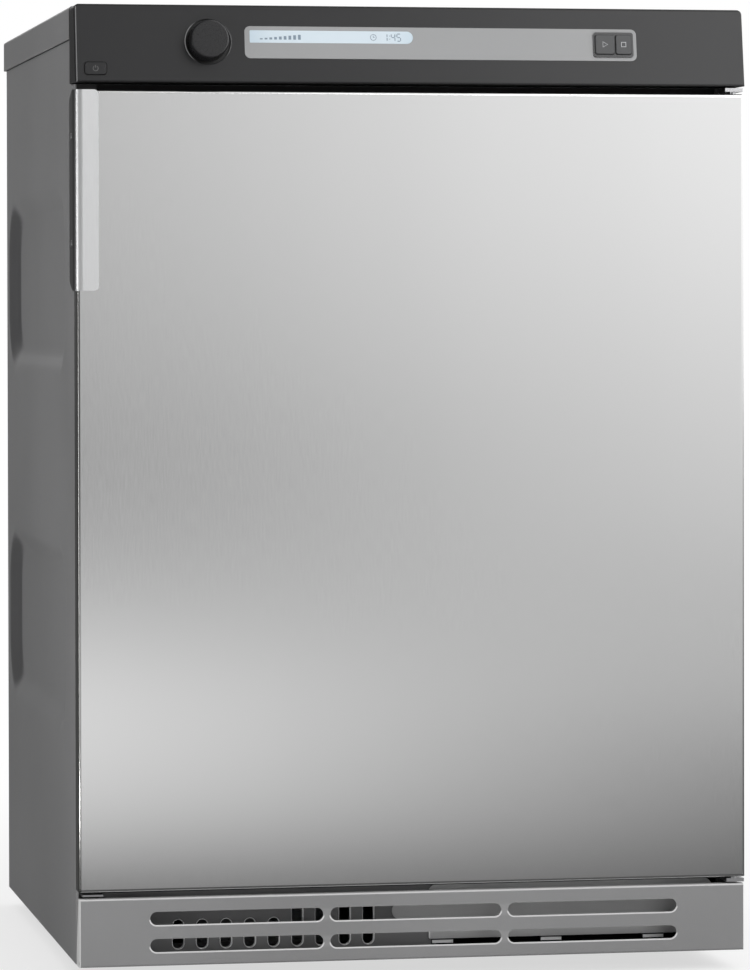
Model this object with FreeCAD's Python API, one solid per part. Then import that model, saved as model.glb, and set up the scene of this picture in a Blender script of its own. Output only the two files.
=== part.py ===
import FreeCAD, Part
import math
import os

# A worktop-high front-loading tumble dryer. Millimetres, +Z up, the front faces -Y.
# A "depth" below is a distance behind the plane of the door's front; y_at() turns it into Y.

V = FreeCAD.Vector

# ------------------------------------------------------------------ driving sizes

# the whole machine
overall_width = 595.0
overall_height = 850.0
cabinet_inset = 1.5             # side panel inside the worktop's side
cabinet_back = 586.0            # depth of the cabinet's rear face
foot_clearance = 17.5           # floor to the cabinet's lower edge
sheet = 1.0                     # folded cabinet steel
past = 1.0                      # how far a cutter reaches past what it cuts
slip = 0.3                      # gap between parts that move past each other
side_fit = 0.2                  # gap between a cross piece and a side panel
shaft_gap = 0.05                # radial gap of a shaft in its bore
inset_fit = 0.1                 # gap round a plate that is let into another

# front: plinth, door and fascia, stacked with their gaps
plinth_height = 59.0
plinth_gap = 6.0
fascia_height = 68.0
fascia_gap = 7.0
door_inset = 1.0                # door's edge inside the worktop's side
door_thick = 20.0
door_standoff = 4.0             # door's back to the cabinet's front
door_bend = 2.5
door_corner = 1.2

# side panels
panel_bend = 2.2
front_flange = 20.0
rear_flange = 16.0
edge_flange = 16.0
field_back_room = 16.0          # field's end to the cabinet's back
field_height = 168.0
field_front = 90.0              # depth where a pressed field begins
field_corner = 60.0
field_depth = 10.0
field_slope = 16.0              # run of the slanted wall
field_lower_lift = 276.0        # middle of the lower field above the cabinet's lower edge
field_pitch = 317.5             # from one field's middle to the other's

# worktop
worktop_sheet = 1.2
worktop_skirt = 28.5
worktop_overhang = 17.0
worktop_corner = 8.0
worktop_edge = 3.0

# cross members under the worktop, and the base
carrier_shelf = 48.0            # depth of the front bar's flat shelf
rear_bar_depth = 42.0
tray_front = 32.0
tray_rim = 24.0

# control fascia
fascia_lean_run = 11.0          # how far the top stands back
fascia_return = 42.0            # depth of its rear edge
fascia_wall = 2.5
fascia_corner = 4.5
fascia_edge = 1.5

knob_from_side = 116.6          # places along the fascia, from its left end
knob_rise = 35.8                # above the fascia's lower edge
knob_radius = 16.7
knob_proud = 13.0
knob_pocket_radius = 20.5
knob_pocket_depth = 1.5
knob_stem_radius = 4.0
knob_stem_length = 14.0
knob_flare = 0.6                # how much wider the skirt's foot is
knob_round = 1.4

strip_from_side = 148.5
strip_to_side = 97.2            # its right end to the fascia's
strip_height = 28.4
strip_rise = 35.6
strip_corner = 5.0
strip_thick = 1.9
strip_sunk = 1.5

window_inset = 4.5
window_length = 144.4
window_height = 11.0
window_drop = 3.6               # strip's upper edge to the window's
window_thick = 0.8
window_corner = 1.0

bezel_width = 35.9
bezel_height = 22.3
bezel_inset = 3.1               # strip's right end to the bezel's
bezel_thick = 1.2
bezel_corner = 2.5
key_height = 17.4
start_width = 17.3
stop_width = 14.1
key_frame = 1.4                 # bezel rim beside the keys
key_divider = 1.1
key_corner = 2.0
key_proud = 1.6
key_travel = 1.2
key_stem_radius = 2.5
key_round = 0.7

power_from_side = 17.9
power_rise = 11.8
power_width = 19.1
power_height = 11.0
power_corner = 3.0
power_proud = 0.8
power_round = 0.6

board_setback = 12.0
board_margin = 67.5             # board's ends to the fascia's, on average
board_height = 46.0
board_thick = 1.6
board_post_radius = 3.0
board_post_inset = (12.0, 5.0)   # from the board's ends and its long edges
board_stem_room = 1.0           # round the knob's stem
board_parts = (                 # (x, width, height, how far it stands off)
    (-150.0, 40.0, 18.0, 9.0), (-95.0, 24.0, 24.0, 6.0), (60.0, 60.0, 26.0, 12.0), (120.0, 30.0, 30.0, 10.0))

# plinth panel
plinth_inset = 1.8              # plinth's end inside the worktop's side
plinth_setback = 0.8
plinth_sheet = 1.2
plinth_bend = 2.0
plinth_top_return = 10.0
plinth_low_return = 22.0
plinth_end_high = 2.0           # height of an end wall's slanted edge, from the top
plinth_end_low = 6.0            # and from the bottom
slot_span = 468.4
slot_height = 11.5
slot_bar = 12.0
slot_bridge = 6.3
slots_per_row = 3
plinth_pivot_depth = 3.7
plinth_pivot_rise = 3.5
plinth_pin_radius = 1.5
plinth_lug_thick = 1.5
plinth_lug_rise = 6.0
gap_tab_start = 4.0             # tab in the door-plinth gap, from the door's left edge
gap_tab_length = 18.0
gap_tab_thick = 1.6
gap_tab_rise = 1.8              # above the plinth
gap_tab_front = 6.0

# behind the plinth
vent_depth = 27.0
vent_right = 18.5
vent_sheet = 1.2
vent_slot_width = 11.2
vent_slot_pitch = 21.05
vent_slot_from_side = 89.9      # first slot's middle from the cabinet's side
vent_slots_short = 5
vent_slots_tall = 4
vent_slot_low = 27.5
vent_slot_short_top = 54.2
vent_slot_tall_top = 71.0
hatch_left = 16.0
hatch_from_side = 24.0
hatch_low = 31.5
hatch_thick = 2.0
hatch_corner = 1.4
hatch_top_corner = 6.0
grip_length = 33.0              # round-ended grip on the hatch's left
grip_radius = 7.6
grip_middle = 56.9
tab_width = 18.6
tab_height = 2.6
tab_drop = 1.3                  # tabs' tops below the hatch
tab_neck = 1.0                  # a tab's neck runs this far up behind the hatch
tab_end_left = 12.4             # middle of the first tab from the hatch's left edge
tab_end_right = 53.1            # and of the last from its right edge
tab_shift = 2.55                # middle tab right of the mean of the others

# front frame and door opening
frame_low = 79.0
drum_lift = 46.25               # drum's axis above the door's middle
opening_radius = 200.0
throat_radius = 188.0
throat_wall = 3.0
throat_lead = 3.0               # door's back to the throat's front edge
throat_flange = 12.0            # flange behind the frame, beyond its opening
throat_flange_thick = 2.0

# drum
drum_side_room = 26.0           # drum to the cabinet's side
drum_sheet = 1.2
drum_front = 84.0
drum_back_room = 90.0           # drum's back to the cabinet's back
drum_rim = 7.0
drum_bead_height = 2.0
drum_bead_width = 8.0
drum_bead_front = 140.0
drum_bead_room = 66.0           # second bead ahead of the drum's back
drum_shaft_radius = 12.5
drum_shaft_room = 11.0          # shaft's end to the cabinet's back
drum_hub_radius = 60.0
drum_hub_thick = 6.0
felt_fit = 0.5                  # felt to the drum's inner face
lifter_count = 3
lifter_height = 55.0
lifter_base = 74.0
lifter_crest = 26.0
lifter_front = 112.0
lifter_room = 26.0              # lifter's end ahead of the drum's back
lifter_round = 9.0
lifter_past = 4.0               # drawn past the drum's wall, then cut to it
back_hole_radius = 6.0
back_hole_ring_first = 100.0
back_hole_ring_step = 40.0
back_hole_ring_count = 3
back_hole_pitch = 34.0          # along each ring

# bulkhead between the opening and the drum
bulkhead_disc_depth = 76.0
bulkhead_rim_room = 8.0         # inside the drum's outer face
bulkhead_rim_end = 98.0
pocket_half_width = 72.0
pocket_front = 42.0
pocket_back = 66.0
pocket_wall = 2.0
pocket_low = 165.0
pocket_into_throat = 20.0       # how far its walls run up past the throat's lowest point
filter_fit = 0.4
filter_top = 285.0
filter_rib = 6.0
filter_mesh_thick = 1.0
filter_grip_width = 40.0
filter_grip_height = 12.0
filter_grip_thick = 8.0
filter_grip_round = 3.0
filter_windows = 3

# support rollers under the drum's front rim
roller_radius = 25.0
roller_width = 16.0
roller_angle = 35.0
roller_axle_radius = 6.0
roller_depth = 88.0
roller_round = 2.0
roller_axle_end = 3.0           # axle past the roller

# rear: bearing bracket, hot-air duct, rear panel
bracket_room = 34.0             # bracket's front to the cabinet's back
bracket_thick = 14.0
bracket_height = 90.0
bracket_end = 40.0              # solid length at each end of the bar
bracket_centre = 60.0           # and beside the bearing
bracket_web = 2.0
bracket_flange = 8.0
bearing_radius = 30.0
bearing_ahead = 8.0             # bearing's front end ahead of the bar
bearing_short = 3.0             # bearing's back end short of the shaft's
duct_radius = 238.0
duct_wall = 2.0
duct_gap = 12.0                 # drum's back to the duct
duct_low = 100.0
duct_half_width = 65.0
duct_bearing_room = 1.0
rear_dome_radius = 216.0
rear_dome_rise = 10.0
rear_dome_run = 10.0
louvre_length = 70.0
louvre_height = 7.0
louvre_pitch = 15.0
louvre_rows = 7
louvre_low = 62.0
louvre_edge = 146.0             # outer columns' middles from the cabinet's sides

# drive
motor_from_side = 146.0
motor_height = 118.0
motor_radius = 58.0
motor_length = 155.0
motor_to_belt = 28.0            # motor's back to the belt's middle
motor_round = 8.0
motor_nose_radius = 18.0
motor_nose_front = 12.0
motor_nose_back = 8.0
shaft_radius = 6.0
shaft_past_front = 86.0         # shaft ahead of the motor
shaft_past_fan = 8.0            # and behind the process fan
pulley_radius = 9.0
pulley_width = 16.0
pulley_flange = 4.0
pulley_flange_thick = 1.5
belt_to_fan = 67.0              # belt's middle to the fan's housing
belt_width = 12.0
belt_thick = 3.0
idler_radius = 15.0
idler_width = 14.0
idler_axle_radius = 4.0
arm_thick = 4.0
arm_width = 20.0
arm_stand_off = 6.0             # arm to the exchanger's housing
arm_foot_length = 24.0
cradle_width = 70.0
cradle_length = 24.0
cradle_base = 3.0
cradle_inset = 14.0             # saddle to the motor can's end
cradle_wrap = 14.0              # how far a saddle rises round the can
shroud_room = 2.0               # round the cooling fan
shroud_wall = 3.0
shroud_end = 6.0                # past the fan's disc
shroud_foot_half = 26.0

# fans
process_fan_radius = 66.0
process_fan_gap = 8.0           # behind the housing's front
process_fan_depth = 40.0
fan_housing_radius = 78.0
fan_housing_length = 66.0
fan_housing_gap = 2.0           # housing to the duct
fan_mouth_radius = 40.0
fan_housing_wall = 2.5
fan_foot_half = 30.0
fan_foot_inset = 10.0
fan_outlet_rise = 30.0          # outlet above the motor's axis
fan_spout_wall = 4.0
fan_blades = 12
cooling_fan_radius = 56.0
cooling_fan_depth = 24.0
cooling_fan_front = 8.0         # from the shaft's front end
cooling_blades = 7
fan_hub_radius = 16.0
fan_disc = 2.0
blade_thick = 2.0
blade_root = 2.0                # how deep a blade starts in the hub

# heat exchanger in the base
housing_left = 20.5
housing_short = 44.0            # housing's right wall inside the hatch's right edge
housing_front = 31.0
housing_room = 156.0            # housing's end to the cabinet's back
housing_wall = 2.0
housing_top = 78.0
exchanger_gap = 1.5
exchanger_room = 15.0           # exchanger's end to the housing's
exchanger_slots = 14
exchanger_setback = 4.0         # behind the housing's mouth
exchanger_end = 10.0            # solid length at each end
exchanger_plate = 6.0           # solid height above and below the passages
passage_share = 0.6             # of each pitch

# services at the back
service_from_side = 81.0        # pump and hose tail from the cabinet's right side
pump_radius = 30.0
pump_length = 75.0
pump_room = 56.0                # pump's end to the cabinet's back
pump_lift = 4.0
pump_round = 5.0
pump_foot_half = 24.0
pump_foot_inset = 6.0
spigot_height = 58.0
spigot_radius = 9.0
spigot_bore = 6.5
spigot_reach = 15.0
spigot_flange = 6.0
spigot_flange_thick = 2.0
spigot_room = 1.0
terminal_from_side = 61.0
terminal_below_top = 77.6
terminal_width = 84.0
terminal_rise = 60.0
terminal_thick = 14.0
terminal_wall = 2.0
terminal_round = 3.0
gland_radius = 8.0

# door furniture
liner_thick = 3.0
liner_inset = 1.2
liner_hole_radius = 178.0
dish_radius = 182.0
dish_nose_radius = 170.0
dish_reach = 42.0
dish_wall = 2.0
dish_round = 7.0
dish_lip = 6.0
dish_draft = 3.0                # extra taper of the hollow
dish_nose_extra = 1.0           # extra metal behind the nose
seal_inner = 192.0
seal_outer = 208.0
seal_round = 1.8
handle_rise = 0.5               # its top above the door's
handle_length = 173.5
handle_flange = 21.8
handle_side_proud = 3.0         # outside the door's left edge
handle_proud = 2.4
handle_sheet = 2.2
handle_bend = 8.0
handle_inner_bend = 3.0
handle_back = 28.0
handle_taper_run = 20.0
handle_taper_rise = 7.5
handle_corner = 4.0
handle_screw_depth = 12.0
handle_screw_drops = (133.0, 40.5)   # below the handle's top
handle_screw_radius = 3.2
screw_head = 0.9
tongue_lift = 1.25              # its middle above the door's middle
tongue_from_edge = 21.5
tongue_thick = 12.0
tongue_tall = 30.0
tongue_reach = 44.0
tongue_round = 3.0
tongue_room = 6.0               # round it in the frame
tongue_base = 3.0               # base plate beyond the tongue
tongue_base_thick = 2.0
catch_travel = 4.0
catch_length = 22.0
catch_tall = 20.0
catch_depth = 12.0
catch_round = 4.0

# door hinge
hinge_edge = 8.5                # pin to the door's right edge
hinge_depth = 7.0
hinge_pin_radius = 3.0
hinge_pin_length = 16.0
hinge_arm_width = 16.0
hinge_arm_thick = 3.2
hinge_arm_gap = 2.2
hinge_arm_front = 1.5
hinge_arm_low_gap = 1.0         # door's bottom to the lower arm, besides the slip
hinge_pin_room = 1.0            # round a pin in the skin
cup_height = 20.0
cup_half_width = 6.0
cup_front = 2.8

# levelling feet
foot_inset = 51.0               # foot's middle from the cabinet's side
foot_front_depth = 148.0
foot_back_room = 41.0           # rear feet to the cabinet's back
foot_sole_radius = 20.0
foot_sole_thick = 8.0
foot_stem_radius = 5.0
foot_stem_top = 46.0
foot_boss_radius = 14.0
foot_boss_height = 22.0
foot_round = 1.5

# ------------------------------------------------------------------ derived places

half_overall = overall_width / 2
half_cabinet = half_overall - cabinet_inset
half_door = half_overall - door_inset
half_plinth = half_overall - plinth_inset
inner_half = half_cabinet - sheet - side_fit       # cross pieces stop this far from the middle
sheet_half = half_cabinet - panel_bend - side_fit  # and sheets that lie in the bends' corners
cabinet_front = door_thick + door_standoff
frame_front = cabinet_front + sheet
plinth_top = foot_clearance + plinth_height
door_bottom = plinth_top + plinth_gap
fascia_bottom = overall_height - fascia_height
door_top = fascia_bottom - fascia_gap
crossbar_top = overall_height - worktop_sheet
cabinet_top = crossbar_top - worktop_sheet
door_middle = (door_bottom + door_top) / 2
drum_height = door_middle + drum_lift              # height of the drum's axis
drum_radius = half_cabinet - drum_side_room
bulkhead_rim_radius = drum_radius - bulkhead_rim_room
field_mid_lower = foot_clearance + field_lower_lift
field_mid_upper = field_mid_lower + field_pitch
field_length = cabinet_back - field_front - field_back_room
strip_length = overall_width - strip_from_side - strip_to_side
board_length = overall_width - 2 * board_margin
drum_back_depth = cabinet_back - drum_back_room
drum_shaft_end = cabinet_back - drum_shaft_room
drum_bead_depths = (drum_bead_front, drum_back_depth - drum_bead_room)
lifter_back = drum_back_depth - lifter_room
bracket_depth = cabinet_back - bracket_room
duct_front = drum_back_depth + duct_gap
fan_housing_back = duct_front - fan_housing_gap
fan_housing_front = fan_housing_back - fan_housing_length
process_fan_front = fan_housing_front + process_fan_gap
shaft_back = process_fan_front + process_fan_depth + shaft_past_fan
belt_depth = fan_housing_front - belt_to_fan
motor_back = belt_depth - motor_to_belt
motor_front = motor_back - motor_length
shaft_front = motor_front - shaft_past_front
motor_x = -half_cabinet + motor_from_side
louvre_columns = (-half_cabinet + louvre_edge, 0.0, half_cabinet - louvre_edge)
housing_back = cabinet_back - housing_room
exchanger_length = housing_back - exchanger_room - housing_front - exchanger_setback
pump_back = cabinet_back - pump_room
pump_front = pump_back - pump_length
foot_depths = (foot_front_depth, cabinet_back - foot_back_room)
knob_x = -half_overall + knob_from_side
strip_left = -half_overall + strip_from_side
power_x = -half_overall + power_from_side
vent_slot_first = -half_cabinet + vent_slot_from_side
hatch_right = half_cabinet - hatch_from_side
first_tab = hatch_left + tab_end_left
last_tab = hatch_right - tab_end_right
tab_places = (first_tab, (first_tab + last_tab) / 2 + tab_shift, last_tab)
housing_right = hatch_right - housing_short
service_x = half_cabinet - service_from_side
terminal_x = -half_cabinet + terminal_from_side
terminal_height = cabinet_top - terminal_below_top
handle_top = door_top + handle_rise
handle_outer = half_door + handle_side_proud
handle_screw_heights = [handle_top - drop for drop in handle_screw_drops]
tongue_height = door_middle + tongue_lift
tongue_left = -half_door + tongue_from_edge
hinge_x = half_door - hinge_edge
foot_x = half_cabinet - foot_inset
carrier_front = fascia_return
panel_setback = carrier_front + worktop_sheet + side_fit
floor_low = foot_clearance + sheet
floor_top = floor_low + worktop_sheet
lean = math.degrees(math.atan2(fascia_lean_run, fascia_height))
key_stem = board_setback - key_travel - slip


def face_depth(rise):
    """Depth of the fascia's leaning face at a height above its lower edge."""
    return rise * fascia_lean_run / fascia_height


knob_nose = (face_depth(knob_rise) - knob_proud * math.cos(math.radians(lean))
             - knob_radius * math.sin(math.radians(lean)))
front_y = -(knob_nose + cabinet_back + worktop_overhang) / 2


def y_at(depth):
    """Y of a depth behind the door's front."""
    return front_y + depth


# ------------------------------------------------------------------ shapes used again and again

def block(x0, x1, d0, d1, z0, z1):
    return Part.makeBox(x1 - x0, d1 - d0, z1 - z0, V(x0, y_at(d0), z0))


def rod_x(radius, x0, x1, depth, z):
    return Part.makeCylinder(radius, x1 - x0, V(x0, y_at(depth), z), V(1, 0, 0))


def rod_y(radius, d0, d1, x, z):
    return Part.makeCylinder(radius, d1 - d0, V(x, y_at(d0), z), V(0, 1, 0))


def rod_z(radius, z0, z1, x, depth):
    return Part.makeCylinder(radius, z1 - z0, V(x, y_at(depth), z0), V(0, 0, 1))


def ring_y(outer, inner, d0, d1, x, z):
    return rod_y(outer, d0, d1, x, z).cut(rod_y(inner, d0 - past, d1 + past, x, z))


def outline(u0, u1, v0, v1, radii, place):
    """Closed wire round a rectangle; radii start at (u0, v0) and go round by (u1, v0)."""
    corners = ((u0, v0, 1, 1), (u1, v0, -1, 1), (u1, v1, -1, -1), (u0, v1, 1, -1))
    stops = []
    for index, (u, v, to_u, to_v) in enumerate(corners):
        r = radii[index]
        mid = r * (1 - math.sqrt(0.5))
        on_u = (u + to_u * r, v)
        on_v = (u, v + to_v * r)
        via = (u + to_u * mid, v + to_v * mid)
        stops.append((on_v, via, on_u) if index % 2 == 0 else (on_u, via, on_v))
    edges = []
    for index, (start, via, end) in enumerate(stops):
        following = stops[(index + 1) % 4][0]
        if radii[index] > 0:
            edges.append(Part.Arc(place(*start), place(*via), place(*end)).toShape())
        if math.dist(end, following) > 1e-6:
            edges.append(Part.LineSegment(place(*end), place(*following)).toShape())
    return Part.Wire(edges)


def plate(x0, x1, z0, z1, d0, d1, radii):
    """Upright plate that faces the front, with a radius at each corner."""
    if not isinstance(radii, tuple):
        radii = (radii,) * 4
    wire = outline(x0, x1, z0, z1, radii, lambda x, z: V(x, y_at(d0), z))
    return Part.Face(wire).extrude(V(0, d1 - d0, 0))


def profile_x(points, x0, x1):
    """Prism along X from a polygon of (depth, z)."""
    corners = [V(x0, y_at(d), z) for d, z in points]
    return Part.Face(Part.makePolygon(corners + corners[:1])).extrude(V(x1 - x0, 0, 0))


def lies_at(edge, **where):
    """True when the whole edge lies at each given x, y or z."""
    box = edge.BoundBox
    spans = {"x": (box.XMin, box.XMax), "y": (box.YMin, box.YMax), "z": (box.ZMin, box.ZMax)}
    return all(abs(end - value) < 1e-3 for axis, value in where.items() for end in spans[axis])


def round_edges(shape, radius, *places):
    chosen = [edge for edge in shape.Edges if any(lies_at(edge, **place) for place in places)]
    return shape.makeFillet(radius, chosen)


def mirrored(shape):
    return shape.mirror(V(0, 0, 0), V(1, 0, 0))


def group(solids):
    return Part.makeCompound(list(solids))


def on_face(shape, x, rise):
    """Turn a shape drawn about (0, 0, 0), facing -Y, onto the leaning fascia."""
    placed = shape.copy()
    placed.rotate(V(0, 0, 0), V(1, 0, 0), -lean)
    placed.translate(V(x, y_at(face_depth(rise)), fascia_bottom + rise))
    return placed


def pad(width, height, proud, sunk, radii):
    """Plate about the origin: proud of the XZ plane in front, sunk behind it."""
    if not isinstance(radii, tuple):
        radii = (radii,) * 4
    half = width / 2
    wire = outline(-half, half, -height / 2, height / 2, radii, lambda x, z: V(x, -proud, z))
    return Part.Face(wire).extrude(V(0, proud + sunk, 0))


def peg(radius, proud, sunk):
    """Cylinder about the origin, its axis along Y."""
    return Part.makeCylinder(radius, proud + sunk, V(0, -proud, 0), V(0, 1, 0))


# ------------------------------------------------------------------ cabinet

def pressed_field(z_mid, skin):
    """Loft of one pressed field on the right panel: the hollow, or with skin its metal too."""
    spread = skin * math.hypot(field_slope, field_depth) / field_depth
    deep = field_depth + skin
    wires = []
    for reach in (0.0, deep):
        inset = field_slope * reach / field_depth - spread
        corner = field_corner - inset
        x = half_cabinet - reach
        wires.append(outline(
            y_at(field_front) + inset, y_at(field_front + field_length) - inset,
            z_mid - field_height / 2 + inset, z_mid + field_height / 2 - inset,
            (corner,) * 4, lambda u, v, x=x: V(x, u, v)))
    return Part.makeLoft(wires, True, True)


def side_panel():
    """The right panel: a folded sheet with two pressed fields and a step for the fascia."""
    x = half_cabinet
    inside = x - sheet
    channel = block(inside, x, cabinet_front, cabinet_back, foot_clearance, cabinet_top)
    channel = channel.fuse(block(x - front_flange, x, cabinet_front, frame_front,
                                 foot_clearance, cabinet_top))
    channel = channel.fuse(block(x - rear_flange, x, cabinet_back - sheet, cabinet_back,
                                 foot_clearance, cabinet_top)).removeSplitter()
    channel = round_edges(channel, panel_bend, {"x": x, "y": y_at(cabinet_front)},
                          {"x": x, "y": y_at(cabinet_back)})
    channel = round_edges(channel, panel_bend - sheet, {"x": inside, "y": y_at(frame_front)},
                          {"x": inside, "y": y_at(cabinet_back - sheet)})
    lower = block(x - edge_flange, inside, frame_front, cabinet_back - sheet,
                  foot_clearance, foot_clearance + sheet)
    upper = block(x - edge_flange, inside, frame_front, cabinet_back - sheet,
                  cabinet_top - sheet, cabinet_top)
    panel = channel.multiFuse([lower, upper]).removeSplitter()
    for z_mid in (field_mid_lower, field_mid_upper):
        panel = panel.fuse(pressed_field(z_mid, sheet)).cut(pressed_field(z_mid, 0.0))
    step = block(x - front_flange - past, x + past, cabinet_front - past, panel_setback,
                 fascia_bottom - sheet, cabinet_top + past)
    return panel.cut(step)


def rear_panel():
    """Flat sheet inside the rear flanges, domed over the bearing and louvred below."""
    back = cabinet_back - sheet
    panel = block(-sheet_half, sheet_half, back - sheet, back, floor_top, cabinet_top - sheet)
    dome = Part.makeCone(rear_dome_radius, rear_dome_radius - rear_dome_run, rear_dome_rise,
                         V(0, y_at(back), drum_height), V(0, 1, 0))
    hollow = Part.makeCone(rear_dome_radius - sheet, rear_dome_radius - sheet - rear_dome_run,
                           rear_dome_rise, V(0, y_at(back - sheet), drum_height), V(0, 1, 0))
    panel = panel.fuse(dome).cut(hollow)
    slots = []
    for x in louvre_columns:
        for row in range(louvre_rows):
            z = louvre_low + row * louvre_pitch
            slots.append(plate(x - louvre_length / 2, x + louvre_length / 2, z, z + louvre_height,
                               back - sheet - past, back + past, louvre_height / 2))
    slots.append(rod_y(spigot_radius + spigot_room, back - sheet - past, back + past, service_x,
                       spigot_height))
    return panel.cut(group(slots))


def base_tray():
    """Bottom sheet with turned-up edges and a threaded boss over each foot."""
    back = cabinet_back - 2 * sheet
    tray = block(-inner_half, inner_half, tray_front, back, floor_low, floor_top)
    rim = floor_top + tray_rim
    tray = tray.multiFuse([
        block(-inner_half, -inner_half + worktop_sheet, tray_front, back, floor_low, rim),
        block(inner_half - worktop_sheet, inner_half, tray_front, back, floor_low, rim),
        block(-inner_half, inner_half, vent_depth, tray_front, floor_low, floor_top)])
    for x in (-foot_x, foot_x):
        for depth in foot_depths:
            tray = tray.fuse(rod_z(foot_boss_radius, floor_low, floor_top + foot_boss_height, x, depth))
            tray = tray.cut(rod_z(foot_stem_radius + shaft_gap, floor_low - past,
                                  floor_top + foot_boss_height + past, x, depth))
    return tray.removeSplitter()


def worktop():
    """Steel top with a deep skirt, open to the front behind the fascia."""
    x = half_overall
    low = overall_height - worktop_skirt
    back = cabinet_back + worktop_overhang
    shell = block(-x, x, panel_setback, back, low, overall_height)
    shell = round_edges(shell, worktop_corner, {"x": -x, "y": y_at(back)}, {"x": x, "y": y_at(back)})
    top_rim = [edge for edge in shell.Edges
               if lies_at(edge, z=overall_height) and not lies_at(edge, y=y_at(panel_setback))]
    shell = shell.makeFillet(worktop_edge, top_rim)
    wall = worktop_sheet
    hollow = block(-x + wall, x - wall, panel_setback - past, back - wall, low + wall,
                   overall_height - wall)
    hollow = round_edges(hollow, worktop_corner - wall, {"x": -x + wall, "y": y_at(back - wall)},
                         {"x": x - wall, "y": y_at(back - wall)})
    mouth = block(-x + wall, x - wall, panel_setback - past, cabinet_back + slip, low - past,
                  low + wall + past)
    return shell.cut(hollow).cut(mouth)


def top_crossbars():
    """Front bar that carries the fascia and the worktop, and a rear bar."""
    thick = worktop_sheet
    front = block(-inner_half, inner_half, carrier_front, carrier_front + thick,
                  fascia_bottom - 2 * thick, crossbar_top)
    front = front.fuse(block(-inner_half, inner_half, carrier_front, carrier_front + carrier_shelf,
                             cabinet_top, crossbar_top))
    back = cabinet_back - 2 * sheet
    rear = block(-inner_half, inner_half, back - rear_bar_depth, back, cabinet_top, crossbar_top)
    return group([front, rear])


def front_frame():
    """Inner front sheet with the round opening, folded back at the top and bottom, with the
    two roller axles riveted to it and a slot for the door's tongue."""
    top = fascia_bottom - sheet
    frame = block(-sheet_half, sheet_half, frame_front, frame_front + sheet, frame_low, top)
    frame = frame.fuse(block(-sheet_half, sheet_half, frame_front, carrier_front, top - sheet, top))
    frame = frame.fuse(block(-sheet_half, sheet_half, frame_front, carrier_front, frame_low,
                             frame_low + sheet))
    frame = frame.cut(rod_y(opening_radius, frame_front - past, frame_front + 2 * past, 0, drum_height))
    room = tongue_room
    frame = frame.cut(block(tongue_left - room, tongue_left + tongue_thick + room,
                            frame_front - past, frame_front + 2 * past,
                            tongue_height - tongue_tall / 2 - room,
                            tongue_height + tongue_tall / 2 + room))
    for x, z in roller_places():
        frame = frame.fuse(rod_y(roller_axle_radius, frame_front + sheet / 2,
                                 roller_depth + roller_width + roller_axle_end, x, z))
    return frame.removeSplitter()


def roller_places():
    """(x, z) of the two rollers that the drum's front rim rests on."""
    reach = drum_radius + roller_radius + slip
    angle = math.radians(roller_angle)
    return [(side * reach * math.sin(angle), drum_height - reach * math.cos(angle)) for side in (-1, 1)]


def support_roller(x, z):
    roller = ring_y(roller_radius, roller_axle_radius + shaft_gap, roller_depth,
                    roller_depth + roller_width, x, z)
    return round_edges(roller, roller_round, {"y": y_at(roller_depth)})


def front_bulkhead():
    """Moulded ring from the opening to the drum, with the lint filter's pocket below."""
    outer = throat_radius + throat_wall
    back = bulkhead_disc_depth + throat_wall
    x = 0
    z = drum_height
    shape = ring_y(outer, throat_radius, door_thick + throat_lead, back, x, z)
    shape = shape.fuse(ring_y(opening_radius + throat_flange, throat_radius, frame_front + sheet,
                              frame_front + sheet + throat_flange_thick, x, z))
    shape = shape.fuse(ring_y(bulkhead_rim_radius, throat_radius, bulkhead_disc_depth, back, x, z))
    shape = shape.fuse(ring_y(bulkhead_rim_radius, bulkhead_rim_radius - throat_wall,
                              bulkhead_disc_depth, bulkhead_rim_end, x, z))
    pocket = block(-pocket_half_width, pocket_half_width, pocket_front, pocket_back,
                   pocket_low, drum_height - throat_radius + pocket_into_throat)
    shape = shape.fuse(pocket)
    shape = shape.cut(rod_y(throat_radius, door_thick, bulkhead_disc_depth - past, x, z))
    hollow = block(-pocket_half_width + pocket_wall, pocket_half_width - pocket_wall,
                   pocket_front + pocket_wall, pocket_back - pocket_wall,
                   pocket_low + pocket_wall, drum_height)
    return shape.cut(hollow)


def drum_felt():
    """Felt ring on the bulkhead's rim, just inside the drum's front edge."""
    return ring_y(drum_radius - drum_sheet - felt_fit, bulkhead_rim_radius, drum_front,
                  bulkhead_rim_end, 0, drum_height)


def door_seal():
    seal = ring_y(seal_outer, seal_inner, door_thick + slip, frame_front, 0, drum_height)
    return round_edges(seal, seal_round, {"y": y_at(door_thick + slip)})


# ------------------------------------------------------------------ control fascia

def key_places():
    """(x, rise, width) of the start key and the stop key inside the bezel."""
    bezel_right = strip_left + strip_length - bezel_inset
    bezel_left = bezel_right - bezel_width
    start_left = bezel_left + key_frame
    stop_left = start_left + start_width + key_divider
    return ((start_left + start_width / 2, strip_rise, start_width),
            (stop_left + stop_width / 2, strip_rise, stop_width))


def strip_mid():
    return strip_left + strip_length / 2


def on_leaning_plane(edge):
    """True when both ends of an edge lie on the fascia's leaning face."""
    for vertex in edge.Vertexes:
        rise = vertex.Point.z - fascia_bottom
        if abs(vertex.Point.y - y_at(face_depth(rise))) > 1e-3:
            return False
    return True


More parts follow.
